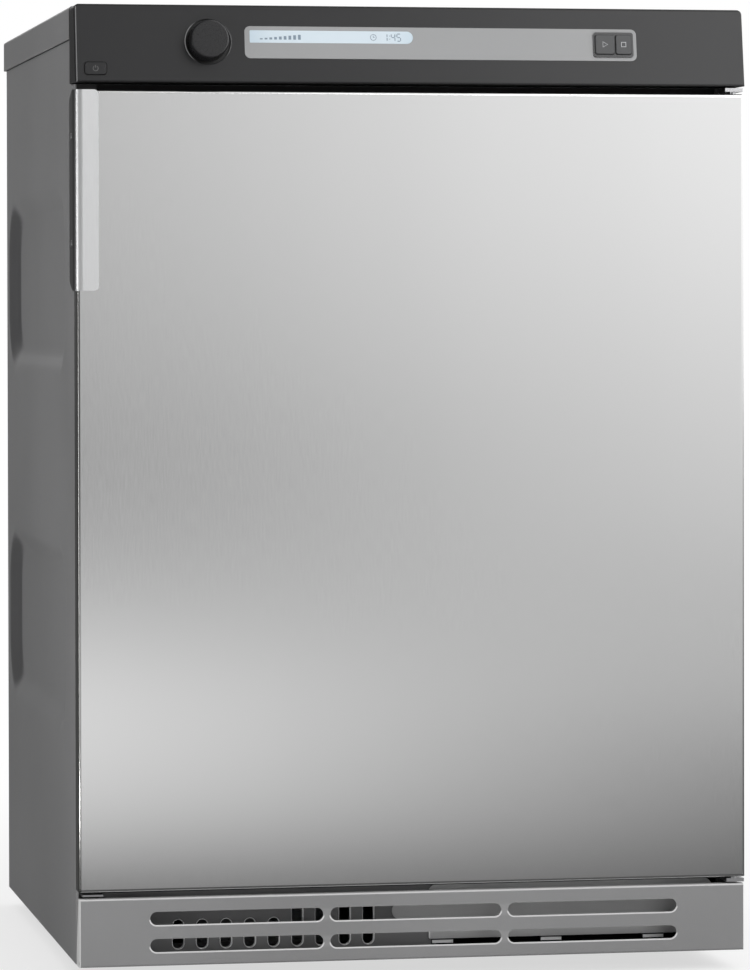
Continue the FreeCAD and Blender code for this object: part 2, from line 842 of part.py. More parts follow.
def fascia():
    """Moulded control panel: a shell that leans back and is open behind."""
    back = fascia_return
    low = fascia_bottom
    top = overall_height
    x = half_overall
    lean_block = profile_x([(0, low), (fascia_lean_run, top), (back, top), (back, low)], -x, x)
    shell = lean_block.common(plate(-x, x, low, top, -past, back + past,
                                    (0, 0, fascia_corner, fascia_corner)))
    rim = [edge for edge in shell.Edges if on_leaning_plane(edge)]
    shell = shell.makeFillet(fascia_edge, rim)
    wall = fascia_wall
    inner = profile_x([(wall, low + wall), (fascia_lean_run + wall, top - wall),
                       (back + past, top - wall), (back + past, low + wall)], -x + wall, x - wall)
    shell = shell.cut(inner)
    deep = fascia_wall * 2
    cuts = [on_face(peg(knob_pocket_radius, past, knob_pocket_depth), knob_x, knob_rise),
            on_face(peg(knob_stem_radius + shaft_gap, past, deep), knob_x, knob_rise),
            on_face(pad(strip_length + 2 * inset_fit, strip_height + 2 * inset_fit, past, strip_sunk,
                        strip_corner),
                    strip_mid(), strip_rise),
            on_face(pad(power_width + 2 * slip, power_height + 2 * slip, past, deep,
                        power_corner + slip), power_x, power_rise)]
    for key_x, rise, width in key_places():
        cuts.append(on_face(pad(width + 2 * slip, key_height + 2 * slip, past, deep, key_corner),
                            key_x, rise))
    shell = shell.cut(group(cuts))
    root = wall - slip
    post_x = board_length / 2 - board_post_inset[0]
    post_z = board_height / 2 - board_post_inset[1]
    posts = [on_face(Part.makeCylinder(board_post_radius, board_setback - root,
                                       V(px, root, pz), V(0, 1, 0)), strip_mid(), strip_rise)
             for px in (-post_x, post_x) for pz in (-post_z, post_z)]
    return shell.multiFuse(posts)


def display_strip():
    """Light plate let into the fascia; it carries the window, the bezel and the keys."""
    strip = pad(strip_length, strip_height, strip_thick - strip_sunk, strip_sunk, strip_corner)
    strip = on_face(strip, strip_mid(), strip_rise)
    x, rise = window_place()
    cuts = [on_face(window_pad(past, window_thick - (strip_thick - strip_sunk), inset_fit),
                    x, rise)]
    for key_x, key_rise, width in key_places():
        cuts.append(on_face(pad(width + 2 * slip, key_height + 2 * slip, bezel_thick + past,
                                strip_thick + past, key_corner), key_x, key_rise))
    return strip.cut(group(cuts))


def window_place():
    rise = strip_rise + (strip_height / 2 - window_drop - window_height / 2) * math.cos(math.radians(lean))
    return strip_left + window_inset + window_length / 2, rise


def window_pad(proud, sunk, gap):
    end = window_height / 2 + gap
    return pad(window_length + 2 * gap, window_height + 2 * gap, proud, sunk,
               (window_corner, end, end, window_corner))


def display_window():
    x, rise = window_place()
    proud = strip_thick - strip_sunk
    return on_face(window_pad(proud, window_thick - proud, 0.0), x, rise)


def key_bezel():
    """Dark rim round the two keys, standing on the strip."""
    low = strip_thick - strip_sunk
    centre = strip_left + strip_length - bezel_inset - bezel_width / 2
    bezel = pad(bezel_width, bezel_height, low + bezel_thick, -low, bezel_corner)
    bezel = on_face(bezel, centre, strip_rise)
    holes = [on_face(pad(width + 2 * slip, key_height + 2 * slip, low + bezel_thick + past, past,
                         key_corner), x, rise) for x, rise, width in key_places()]
    return bezel.cut(group(holes))


def key(x, rise, width):
    """A square key with a dished front and a stem towards its switch."""
    proud = strip_thick - strip_sunk + bezel_thick + key_proud
    cap = pad(width, key_height, proud, fascia_wall, key_corner)
    front = [edge for edge in cap.Edges if lies_at(edge, y=-proud)]
    cap = cap.makeFillet(key_round, front)
    cap = cap.fuse(peg(key_stem_radius, 0, key_stem))
    return on_face(cap, x, rise)


def power_key():
    cap = pad(power_width, power_height, power_proud, fascia_wall, power_corner)
    cap = cap.makeFillet(power_round, [edge for edge in cap.Edges if lies_at(edge, y=-power_proud)])
    return on_face(cap.fuse(peg(key_stem_radius, 0, key_stem)), power_x, power_rise)


def knob():
    """Turned knob: a slightly tapered skirt, a flat cap and a stem through the fascia."""
    base = knob_pocket_depth - slip
    body = Part.makeCone(knob_radius + knob_flare, knob_radius, knob_proud + base, V(0, base, 0),
                         V(0, -1, 0))
    body = body.makeFillet(knob_round, [edge for edge in body.Edges if lies_at(edge, y=-knob_proud)])
    body = body.fuse(peg(knob_stem_radius, 0, knob_stem_length))
    return on_face(body, knob_x, knob_rise)


def control_board():
    """Circuit board on the fascia's posts, with a hole for the knob's stem."""
    board = Part.makeBox(board_length, board_thick, board_height,
                         V(-board_length / 2, board_setback, -board_height / 2))
    for x, width, height, tall in board_parts:
        board = board.fuse(Part.makeBox(width, tall, height, V(x, board_setback + board_thick, -height / 2)))
    stem_hole = Part.makeCylinder(knob_stem_radius + board_stem_room, 2 * board_setback,
                                  V(knob_x - strip_mid(), 0, 0), V(0, 1, 0))
    return on_face(board.cut(stem_hole), strip_mid(), strip_rise)


# ------------------------------------------------------------------ plinth and what is behind it

def slot_rows():
    """Lower edge of each of the two rows of slots, evenly set in the plinth's height."""
    margin = (plinth_height - 2 * slot_height - slot_bar) / 2
    low = foot_clearance + margin
    return low, low + slot_height + slot_bar


def plinth_panel():
    """Folded panel with two rows of long slots; deep return below, short one above."""
    x = half_plinth
    low = foot_clearance
    top = plinth_top
    front = plinth_setback
    wall = plinth_sheet
    deep = front + plinth_low_return
    shell = block(-x, x, front, deep, low, top)
    shell = round_edges(shell, plinth_bend, {"y": y_at(front)})
    shell = shell.cut(block(-x + wall, x - wall, front + wall, deep + past, low + wall, top - wall))
    shallow = front + plinth_top_return
    high_end = top - wall - plinth_end_high
    low_end = low + wall + plinth_end_low
    shell = shell.cut(profile_x([(shallow, top + past), (shallow, high_end), (deep, low_end),
                                 (deep + past, low_end), (deep + past, top + past)],
                                -x - past, x + past))
    length = (slot_span - (slots_per_row - 1) * slot_bridge) / slots_per_row
    for z in slot_rows():
        for index in range(slots_per_row):
            x0 = -slot_span / 2 + index * (length + slot_bridge)
            shell = shell.cut(plate(x0, x0 + length, z, z + slot_height, front - past,
                                    front + wall + past, slot_height / 2))
    notch = block(x - wall - 2 * slip - plinth_lug_thick, x - wall, front + wall, deep + past,
                  low - past, low + wall + past)
    bore = rod_x(plinth_pin_radius + shaft_gap, -x - past, x + past, plinth_pivot_depth,
                 foot_clearance + plinth_pivot_rise)
    return shell.cut(group([notch, mirrored(notch), bore]))


def vent_panel():
    """Dark sheet behind the left of the plinth with nine upright slots."""
    left = -inner_half
    panel = block(left, vent_right, vent_depth, vent_depth + vent_sheet, floor_top, frame_low)
    for index in range(vent_slots_short + vent_slots_tall):
        x = vent_slot_first + index * vent_slot_pitch
        top = vent_slot_short_top if index < vent_slots_short else vent_slot_tall_top
        panel = panel.cut(plate(x - vent_slot_width / 2, x + vent_slot_width / 2, vent_slot_low, top,
                                vent_depth - past, vent_depth + vent_sheet + past,
                                vent_slot_width / 2))
    return panel


def exchanger_hatch():
    """Grey cover in front of the heat exchanger, with a grip and three tabs to hold it."""
    back = vent_depth
    front = back - hatch_thick
    cover = plate(hatch_left, hatch_right, hatch_low, frame_low, front, back,
                  (hatch_corner, hatch_corner, hatch_top_corner, hatch_top_corner))
    grip = plate(hatch_left - grip_length, hatch_left + 2 * grip_radius, grip_middle - grip_radius,
                 grip_middle + grip_radius, front, back, grip_radius)
    tab_top = hatch_low - tab_drop
    added = [grip]
    for x in tab_places:
        ends = x - tab_width / 2, x + tab_width / 2
        added.append(block(*ends, front, housing_front, tab_top - tab_height, tab_top))
        added.append(block(*ends, (front + back) / 2, housing_front, tab_top, hatch_low + tab_neck))
    return cover.multiFuse(added)


def exchanger_housing():
    """Flat channel in the base, open to the front, that the exchanger slides into."""
    outer = block(housing_left, housing_right, housing_front, housing_back, floor_top, housing_top)
    wall = housing_wall
    inner = block(housing_left + wall, housing_right - wall, housing_front - past, housing_back - wall,
                  floor_top + wall, housing_top - wall)
    return outer.cut(inner)


def heat_exchanger():
    """Aluminium block with rows of air passages across it."""
    wall = housing_wall
    gap = exchanger_gap
    x0 = housing_left + wall + gap
    x1 = housing_right - wall - gap
    z0 = floor_top + wall
    z1 = housing_top - wall - gap
    front = housing_front + exchanger_setback
    core = block(x0, x1, front, front + exchanger_length, z0, z1)
    pitch = (exchanger_length - 2 * exchanger_end) / exchanger_slots
    passage = pitch * passage_share
    for index in range(exchanger_slots):
        start = front + exchanger_end + index * pitch + (pitch - passage) / 2
        core = core.cut(block(x0 - past, x1 + past, start, start + passage, z0 + exchanger_plate,
                              z1 - exchanger_plate))
    return core


# ------------------------------------------------------------------ drum

def drum_shell():
    z = drum_height
    back = drum_back_depth + drum_rim
    shell = rod_y(drum_radius, drum_front, back, 0, z)
    for depth in drum_bead_depths:
        shell = shell.fuse(rod_y(drum_radius + drum_bead_height, depth, depth + drum_bead_width, 0, z))
    shell = shell.cut(rod_y(drum_radius - drum_sheet, drum_front - past, back + past, 0, z))
    return shell


def drum_back():
    """Pressed disc with a flange and rings of air holes."""
    z = drum_height
    radius = drum_radius - drum_sheet - shaft_gap
    disc = rod_y(radius, drum_back_depth, drum_back_depth + drum_rim, 0, z)
    disc = disc.cut(rod_y(radius - drum_sheet, drum_back_depth + drum_sheet,
                          drum_back_depth + drum_rim + past, 0, z))
    holes = []
    for step in range(back_hole_ring_count):
        ring = back_hole_ring_first + step * back_hole_ring_step
        count = round(2 * math.pi * ring / back_hole_pitch)
        for index in range(count):
            angle = 2 * math.pi * index / count
            holes.append(rod_y(back_hole_radius, drum_back_depth - past,
                               drum_back_depth + drum_sheet + past,
                               ring * math.cos(angle), z + ring * math.sin(angle)))
    return disc.cut(group(holes))


def drum_lifters():
    """Three tapered bars along the drum, a third of a turn apart."""
    inside = drum_radius - drum_sheet - shaft_gap
    crest = inside - lifter_height
    foot = inside + lifter_past
    corners = [(-lifter_base / 2, -foot), (lifter_base / 2, -foot),
               (lifter_crest / 2, -crest), (-lifter_crest / 2, -crest)]
    points = [V(x, y_at(lifter_front), drum_height + z) for x, z in corners]
    bar = Part.Face(Part.makePolygon(points + points[:1])).extrude(V(0, lifter_back - lifter_front, 0))
    bar = bar.makeFillet(lifter_round, [edge for edge in bar.Edges if lies_at(edge, z=drum_height - crest)
                               and edge.BoundBox.XMax - edge.BoundBox.XMin < 1e-3])
    bar = bar.common(rod_y(inside, lifter_front, lifter_back, 0, drum_height))
    bars = []
    for index in range(lifter_count):
        turned = bar.copy()
        turned.rotate(V(0, 0, drum_height), V(0, 1, 0), 360.0 * index / lifter_count)
        bars.append(turned)
    return group(bars)


def drum_shaft():
    """Hub flange on the drum's back with the shaft that the rear bearing holds."""
    start = drum_back_depth + drum_sheet
    hub = rod_y(drum_hub_radius, start, start + drum_hub_thick, 0, drum_height)
    return hub.fuse(rod_y(drum_shaft_radius, start, drum_shaft_end, 0, drum_height))


# ------------------------------------------------------------------ rear and drive

def bearing_bracket():
    """Cross member between the side panels with the drum's bearing in its middle."""
    z = drum_height
    half = bracket_height / 2
    back = bracket_depth + bracket_thick
    bar = block(-inner_half, inner_half, bracket_depth, back, z - half, z + half)
    hollow = block(bracket_centre, inner_half - bracket_end, bracket_depth + bracket_web, back + past,
                   z - half + bracket_flange, z + half - bracket_flange)
    bar = bar.cut(group([hollow, mirrored(hollow)]))
    bar = bar.fuse(rod_y(bearing_radius, bracket_depth - bearing_ahead, drum_shaft_end - bearing_short,
                         0, z))
    return bar.cut(rod_y(drum_shaft_radius + shaft_gap, bracket_depth - bearing_ahead - past,
                         drum_shaft_end, 0, z))


def rear_duct():
    """Round hot-air pan behind the drum with a leg down to the fan."""
    z = drum_height
    wall = duct_wall
    outer = rod_y(duct_radius, duct_front, bracket_depth, 0, z)
    inner = rod_y(duct_radius - wall, duct_front - past, bracket_depth - wall, 0, z)
    left = motor_x - duct_half_width
    right = motor_x + duct_half_width
    leg = block(left, right, duct_front, bracket_depth, duct_low, z - duct_radius / 2)
    hollow = block(left + wall, right - wall, duct_front + wall, bracket_depth - wall,
                   duct_low + wall, z - duct_radius / 2)
    duct = outer.fuse(leg).cut(inner.fuse(hollow))
    duct = duct.cut(rod_y(bearing_radius + duct_bearing_room, bracket_depth - 2 * wall,
                          bracket_depth + past, 0, z))
    return duct.cut(rod_y(fan_mouth_radius, duct_front - past, duct_front + wall + past,
                          motor_x, motor_height + fan_outlet_rise))


def fan_housing():
    """Drum-shaped casing of the process fan, with its outlet on the duct's leg."""
    wall = fan_housing_wall
    outlet = motor_height + fan_outlet_rise
    outer = rod_y(fan_housing_radius, fan_housing_front, fan_housing_back, motor_x, motor_height)
    foot = block(motor_x - fan_foot_half, motor_x + fan_foot_half, fan_housing_front + fan_foot_inset,
                 fan_housing_back - fan_foot_inset, floor_top, motor_height)
    inner = rod_y(fan_housing_radius - wall, fan_housing_front + wall, fan_housing_back - wall,
                  motor_x, motor_height)
    mouth = rod_y(fan_mouth_radius, fan_housing_front - past, fan_housing_front + wall + past,
                  motor_x, motor_height)
    spout = rod_y(fan_mouth_radius + fan_spout_wall, fan_housing_back - wall, duct_front, motor_x, outlet)
    bore = rod_y(fan_mouth_radius, fan_housing_back - wall - past, duct_front + past, motor_x, outlet)
    return outer.fuse(foot).fuse(spout).cut(inner).cut(mouth).cut(bore)


def motor():
    """Motor can with end bells, bored for its shaft."""
    can = rod_y(motor_radius, motor_front, motor_back, motor_x, motor_height)
    can = round_edges(can, motor_round, {"y": y_at(motor_front)}, {"y": y_at(motor_back)})
    nose = motor_front - motor_nose_front
    tail = motor_back + motor_nose_back
    for start, end in ((nose, motor_front), (motor_back, tail)):
        can = can.fuse(rod_y(motor_nose_radius, start, end, motor_x, motor_height))
    return can.cut(rod_y(shaft_radius + shaft_gap, nose - past, tail + past, motor_x, motor_height))


def motor_cradle():
    """Two saddles under the motor and the cooling fan's shroud, all on one base plate."""
    x = motor_x
    base = block(x - cradle_width, x + cradle_width, shaft_front, motor_back, floor_top,
                 floor_top + cradle_base)
    saddles = [block(x - cradle_width / 2, x + cradle_width / 2, d, d + cradle_length, floor_top,
                     motor_height - motor_radius + cradle_wrap)
               for d in (motor_front + cradle_inset, motor_back - cradle_inset - cradle_length)]
    fan_front = shaft_front + cooling_fan_front
    start = fan_front - shroud_room
    end = fan_front + cooling_fan_depth + shroud_end
    bore = cooling_fan_radius + shroud_room
    shroud = ring_y(bore + shroud_wall, bore, start, end, x, motor_height)
    shroud_foot = block(x - shroud_foot_half, x + shroud_foot_half, start, end, floor_top,
                        motor_height - bore - slip)
    cradle = base.multiFuse(saddles + [shroud, shroud_foot])
    return cradle.cut(rod_y(motor_radius + shaft_gap, motor_front - past, motor_back + past,
                            x, motor_height))


def motor_shaft():
    """Rotor shaft with the belt pulley turned on it, flanged on both sides of the belt."""
    shaft = rod_y(shaft_radius, shaft_front, shaft_back, motor_x, motor_height)
    pulley = rod_y(pulley_radius, belt_depth - pulley_width / 2, belt_depth + pulley_width / 2,
                   motor_x, motor_height)
    rims = [rod_y(pulley_radius + pulley_flange, d, d + pulley_flange_thick, motor_x, motor_height)
            for d in (belt_depth - pulley_width / 2 - pulley_flange_thick, belt_depth + pulley_width / 2)]
    return shaft.multiFuse([pulley] + rims)


def bladed_wheel(radius, front, depth, blades):
    """Hub with straight blades and a rear disc, bored for the motor's shaft."""
    hub = rod_y(fan_hub_radius, front, front + depth, motor_x, motor_height)
    wheel = hub.fuse(rod_y(radius, front + depth - fan_disc, front + depth, motor_x, motor_height))
    for index in range(blades):
        blade = block(motor_x + fan_hub_radius - blade_root, motor_x + radius, front, front + depth,
                      motor_height - blade_thick / 2, motor_height + blade_thick / 2)
        blade = blade.common(rod_y(radius, front, front + depth, motor_x, motor_height))
        blade.rotate(V(motor_x, y_at(front), motor_height), V(0, 1, 0), 360.0 * index / blades)
        wheel = wheel.fuse(blade)
    return wheel.cut(rod_y(shaft_radius, front - past, front + depth + past, motor_x, motor_height))


def process_fan():
    return bladed_wheel(process_fan_radius, process_fan_front, process_fan_depth, fan_blades)


def cooling_fan():
    return bladed_wheel(cooling_fan_radius, shaft_front + cooling_fan_front, cooling_fan_depth,
                        cooling_blades)


def belt_runs():
    """Centres, radii and the outward angle of the run that the idler presses."""
    drum = (0.0, drum_height, drum_radius + slip)
    pulley = (motor_x, motor_height, pulley_radius + slip)
    across = math.atan2(pulley[1] - drum[1], pulley[0] - drum[0])
    distance = math.hypot(pulley[0] - drum[0], pulley[1] - drum[1])
    spread = math.acos((drum[2] - pulley[2]) / distance)
    return drum, pulley, across, spread


def belt_loop(extra, d0, d1):
    """Solid inside the belt's line, grown by extra."""
    drum, pulley, across, spread = belt_runs()

    def spot(circle, angle):
        radius = circle[2] + extra
        return V(circle[0] + radius * math.cos(angle), y_at(d0), circle[1] + radius * math.sin(angle))

    first = across + spread
    second = across - spread
    edges = [Part.LineSegment(spot(drum, first), spot(pulley, first)).toShape(),
             Part.Arc(spot(pulley, first), spot(pulley, across), spot(pulley, second)).toShape(),
             Part.LineSegment(spot(pulley, second), spot(drum, second)).toShape(),
             Part.Arc(spot(drum, second), spot(drum, across + math.pi), spot(drum, first)).toShape()]
    return Part.Face(Part.Wire(edges)).extrude(V(0, d1 - d0, 0))


def drive_belt():
    d0 = belt_depth - belt_width / 2
    d1 = belt_depth + belt_width / 2
    return belt_loop(belt_thick, d0, d1).cut(belt_loop(0.0, d0 - past, d1 + past))


def idler_place():
    """(x, z) of the idler, against the outer face of the belt's right-hand run."""
    drum, pulley, across, spread = belt_runs()
    angle = across + spread
    out = (math.cos(angle), math.sin(angle))
    mid_x = (drum[0] + drum[2] * out[0] + pulley[0] + pulley[2] * out[0]) / 2
    mid_z = (drum[1] + drum[2] * out[1] + pulley[1] + pulley[2] * out[1]) / 2
    reach = belt_thick + slip + idler_radius
    return mid_x + reach * out[0], mid_z + reach * out[1]


def idler_pulley():
    x, z = idler_place()
    return ring_y(idler_radius, idler_axle_radius + shaft_gap, belt_depth - idler_width / 2,
                  belt_depth + idler_width / 2, x, z)


def tensioner_arm():
    """Sheet arm from the base up to the idler, with the idler's axle."""
    x, z = idler_place()
    d0 = belt_depth + idler_width / 2 + slip
    d1 = d0 + arm_thick
    foot_x0 = housing_left - arm_width - arm_stand_off
    arm = block(foot_x0, foot_x0 + arm_width, d0, d1, floor_top, z + arm_width / 2)
    half = arm_width / 2
    left = min(foot_x0, x - half)
    right = max(foot_x0 + arm_width, x + half)
    arm = arm.fuse(block(left, right, d0, d1, z - half, z + half))
    arm = arm.fuse(block(foot_x0, foot_x0 + arm_width, d0, d0 + arm_foot_length, floor_top,
                         floor_top + arm_thick))
    return arm.fuse(rod_y(idler_axle_radius, belt_depth - idler_width / 2, d1, x, z))


def drain_pump():
    body = rod_y(pump_radius, pump_front, pump_back, service_x, floor_top + pump_radius + pump_lift)
    body = round_edges(body, pump_round, {"y": y_at(pump_front)})
    foot = block(service_x - pump_foot_half, service_x + pump_foot_half, pump_front + pump_foot_inset,
                 pump_back, floor_top, floor_top + pump_radius)
    return body.fuse(foot)


def drain_spigot():
    """Hose tail through the rear panel, with its tube from the pump."""
    back = cabinet_back - sheet
    end = back + spigot_reach
    flange = rod_y(spigot_radius + spigot_flange, back - sheet - spigot_flange_thick, back - sheet, service_x,
                   spigot_height)
    tail = rod_y(spigot_radius, pump_back, end, service_x, spigot_height)
    return flange.fuse(tail).cut(rod_y(spigot_bore, pump_back - past, end + past, service_x, spigot_height))


def terminal_box():
    """Mains inlet cover on the rear panel, with a bore for a cable gland."""
    back = cabinet_back - sheet
    half = terminal_width / 2
    low = terminal_height - terminal_rise / 2
    cover = block(terminal_x - half, terminal_x + half, back, back + terminal_thick,
                  low, low + terminal_rise)
    cover = round_edges(cover, terminal_round, {"y": y_at(back + terminal_thick)})
    wall = terminal_wall
    cover = cover.cut(block(terminal_x - half + wall, terminal_x + half - wall, back - past,
                            back + terminal_thick - wall, low + wall, low + terminal_rise - wall))
    return cover.cut(rod_y(gland_radius, back + terminal_thick - wall - past, back + terminal_thick + past,
                           terminal_x, terminal_height))


# ------------------------------------------------------------------ door

def door_skin():
    """Brushed steel tray with rounded front edges, open at the back."""
    x = half_door
    shell = block(-x, x, 0, door_thick, door_bottom, door_top)
    shell = round_edges(shell, door_bend, {"y": y_at(0)})
    upright = [edge for edge in shell.Edges
               if edge.BoundBox.YLength > door_thick / 2 and abs(abs(edge.BoundBox.XMin) - x) < 1e-3]
    shell = shell.makeFillet(door_corner, upright)
    inner = block(-x + sheet, x - sheet, sheet, door_thick + past, door_bottom + sheet, door_top - sheet)
    inner = round_edges(inner, door_bend - sheet, {"y": y_at(sheet)})
    shell = shell.cut(inner)
    holes = rod_z(hinge_pin_radius + hinge_pin_room, door_bottom - past, door_top + past, hinge_x,
                  hinge_depth)
    return shell.cut(holes)


def door_liner():
    """Flat moulded panel that closes the tray, with a round hole for the dished cover."""
    x = half_door - liner_inset
    front = door_thick - liner_thick
    panel = block(-x, x, front, door_thick, door_bottom + liner_inset, door_top - liner_inset)
    return panel.cut(rod_y(liner_hole_radius, front - past, door_thick + past, 0, drum_height))


def door_dish():
    """Shallow dished cover that reaches into the opening."""
    z = drum_height
    base = door_thick - liner_thick
    wall = dish_wall
    flange = rod_y(dish_radius + dish_lip, base - wall, base, 0, z)
    neck = rod_y(liner_hole_radius - shaft_gap, base - wall, door_thick, 0, z)
    bowl = Part.makeCone(liner_hole_radius - shaft_gap, dish_nose_radius, dish_reach - door_thick,
                         V(0, y_at(door_thick), z), V(0, 1, 0))
    bowl = bowl.makeFillet(dish_round, [edge for edge in bowl.Edges if lies_at(edge, y=y_at(dish_reach))])
    solid = flange.multiFuse([neck, bowl])
    hollow_end = dish_reach - wall - dish_nose_extra
    hollow = Part.makeCone(liner_hole_radius - wall, dish_nose_radius - wall - dish_draft,
                           hollow_end - base + wall + past, V(0, y_at(base - wall - past), z), V(0, 1, 0))
    return solid.cut(hollow)


def door_handle():
    """Bent strip round the door's left edge; its side flange is tapered at both ends."""
    left = -handle_outer
    right = left + handle_flange
    low = handle_top - handle_length
    front = -handle_proud
    wall = handle_sheet
    strip = block(left, right, front, handle_back, low, handle_top)
    strip = round_edges(strip, handle_bend, {"x": left, "y": y_at(front)})
    inner = block(left + wall, right + past, 0, handle_back + past, low - past, handle_top + past)
    inner = round_edges(inner, handle_inner_bend, {"x": left + wall, "y": y_at(0)})
    strip = strip.cut(inner)
    start = handle_back - handle_taper_run
    rise = handle_taper_rise
    for z, to in ((handle_top, -1), (low, 1)):
        wedge = profile_x([(start, z), (handle_back + past, z + to * rise * (1 + past / handle_taper_run)),
                           (handle_back + past, z - to * past), (start, z - to * past)],
                          left - past, left + wall + past)
        strip = strip.cut(wedge)
    ends = [edge for edge in strip.Edges if lies_at(edge, x=right)
            and edge.BoundBox.YMax - edge.BoundBox.YMin > handle_proud / 2]
    strip = strip.makeFillet(handle_corner, [
        edge for edge in ends if lies_at(edge, z=handle_top) or lies_at(edge, z=low)])
    return strip


def handle_screws():
    """Two low-headed screws through the side flange into the door's edge."""
    return group(rod_x(handle_screw_radius, -handle_outer - screw_head, -handle_outer,
                       handle_screw_depth, z) for z in handle_screw_heights)


def latch_tongue():
    """Tongue on the door's liner that reaches through the front frame beside the catch."""
    low = tongue_height - tongue_tall / 2
    tongue = block(tongue_left, tongue_left + tongue_thick, door_thick, tongue_reach, low,
                   low + tongue_tall)
    tongue = round_edges(tongue, tongue_round, {"y": y_at(tongue_reach)})
    rim = tongue_base
    base = block(tongue_left - rim, tongue_left + tongue_thick + rim, door_thick,
                 door_thick + tongue_base_thick, low - rim, low + tongue_tall + rim)
    return tongue.fuse(base)


def door_catch():
    """Sprung bolt behind the front frame; its nose stands beside the tongue's flank."""
    nose = tongue_left + tongue_thick + slip
    half = catch_tall / 2
    depth = frame_front + sheet + slip
    bolt = block(nose, nose + catch_length, depth, depth + catch_depth, tongue_height - half,
                 tongue_height + half)
    return round_edges(bolt, catch_round, {"x": nose, "y": y_at(depth)},
                       {"x": nose, "y": y_at(depth + catch_depth)})


def hinge_cups():
    """Bored blocks in the door's right corners that turn on the hinge pins."""
    cups = []
    for low in (door_bottom + sheet, door_top - sheet - cup_height):
        cup = block(hinge_x - cup_half_width, hinge_x + cup_half_width, cup_front,
                    door_thick - liner_thick, low, low + cup_height)
        cups.append(cup.cut(rod_z(hinge_pin_radius + shaft_gap, low - past, low + cup_height + past,
                                  hinge_x, hinge_depth)))
    return group(cups)


def hinge_arms():
    """Arms on the cabinet's front that carry the door's pins, the plinth's two pivot lugs,
    and the small tab above the plinth's left end."""
    x1 = hinge_x + hinge_arm_width / 2
    x0 = hinge_x - hinge_arm_width / 2
    top_low = door_top + hinge_arm_gap
    top = block(x0, x1, hinge_arm_front, cabinet_front, top_low, top_low + hinge_arm_thick)
    top = top.fuse(rod_z(hinge_pin_radius, door_top - hinge_pin_length, top_low + past,
                         hinge_x, hinge_depth))
    low_high = door_bottom - slip - hinge_arm_low_gap
    low = block(x0, x1, hinge_arm_front, cabinet_front, low_high - hinge_arm_thick, low_high)
    low = low.fuse(rod_z(hinge_pin_radius, low_high - past, door_bottom + hinge_pin_length,
                         hinge_x, hinge_depth))
    lugs = []
    for side in (-1, 1):
        inner = half_plinth - plinth_sheet - slip
        z = foot_clearance + plinth_pivot_rise
        a = side * inner
        b = side * (inner - plinth_lug_thick)
        ahead = (plinth_pivot_depth - plinth_setback - plinth_sheet - slip) / math.sqrt(2)
        lug = block(min(a, b), max(a, b), plinth_pivot_depth - ahead, cabinet_front, z - ahead,
                    z + plinth_lug_rise)
        c = side * (half_plinth - inset_fit)
        lugs.append(lug.fuse(rod_x(plinth_pin_radius, min(b, c), max(b, c), plinth_pivot_depth, z)))
    tab_x = -half_door + gap_tab_start
    tab_z = plinth_top + gap_tab_rise
    tab = block(tab_x, tab_x + gap_tab_length, gap_tab_front, cabinet_front, tab_z, tab_z + gap_tab_thick)
    return group([top, low, tab] + lugs)


def lint_filter():
    """Framed screen with a grip; it lifts out of the pocket."""
    half = pocket_half_width - pocket_wall - filter_fit
    front = pocket_front + pocket_wall + filter_fit
    back = pocket_back - pocket_wall - filter_fit
    low = pocket_low + pocket_wall
    frame = block(-half, half, front, back, low, filter_top)
    span = 2 * half - filter_rib * (filter_windows + 1)
    width = span / filter_windows
    mid = (front + back) / 2
    mesh_half = filter_mesh_thick / 2
    for index in range(filter_windows):
        x0 = -half + filter_rib + index * (width + filter_rib)
        for d0, d1 in ((front - past, mid - mesh_half), (mid + mesh_half, back + past)):
            frame = frame.cut(block(x0, x0 + width, d0, d1, low + filter_rib, filter_top - filter_rib))
    grip = block(-filter_grip_width / 2, filter_grip_width / 2, mid - filter_grip_thick / 2,
                 mid + filter_grip_thick / 2, filter_top, filter_top + filter_grip_height)
    grip = round_edges(grip, filter_grip_round, {"z": filter_top + filter_grip_height})
    return frame.fuse(grip)


def foot(x, depth):
    """Levelling foot: a sole and a threaded stem."""
    sole = rod_z(foot_sole_radius, 0, foot_sole_thick, x, depth)
    sole = round_edges(sole, foot_round, {"z": foot_sole_thick})
    return sole.fuse(rod_z(foot_stem_radius, foot_sole_thick - past, foot_stem_top, x, depth))


# ------------------------------------------------------------------ export

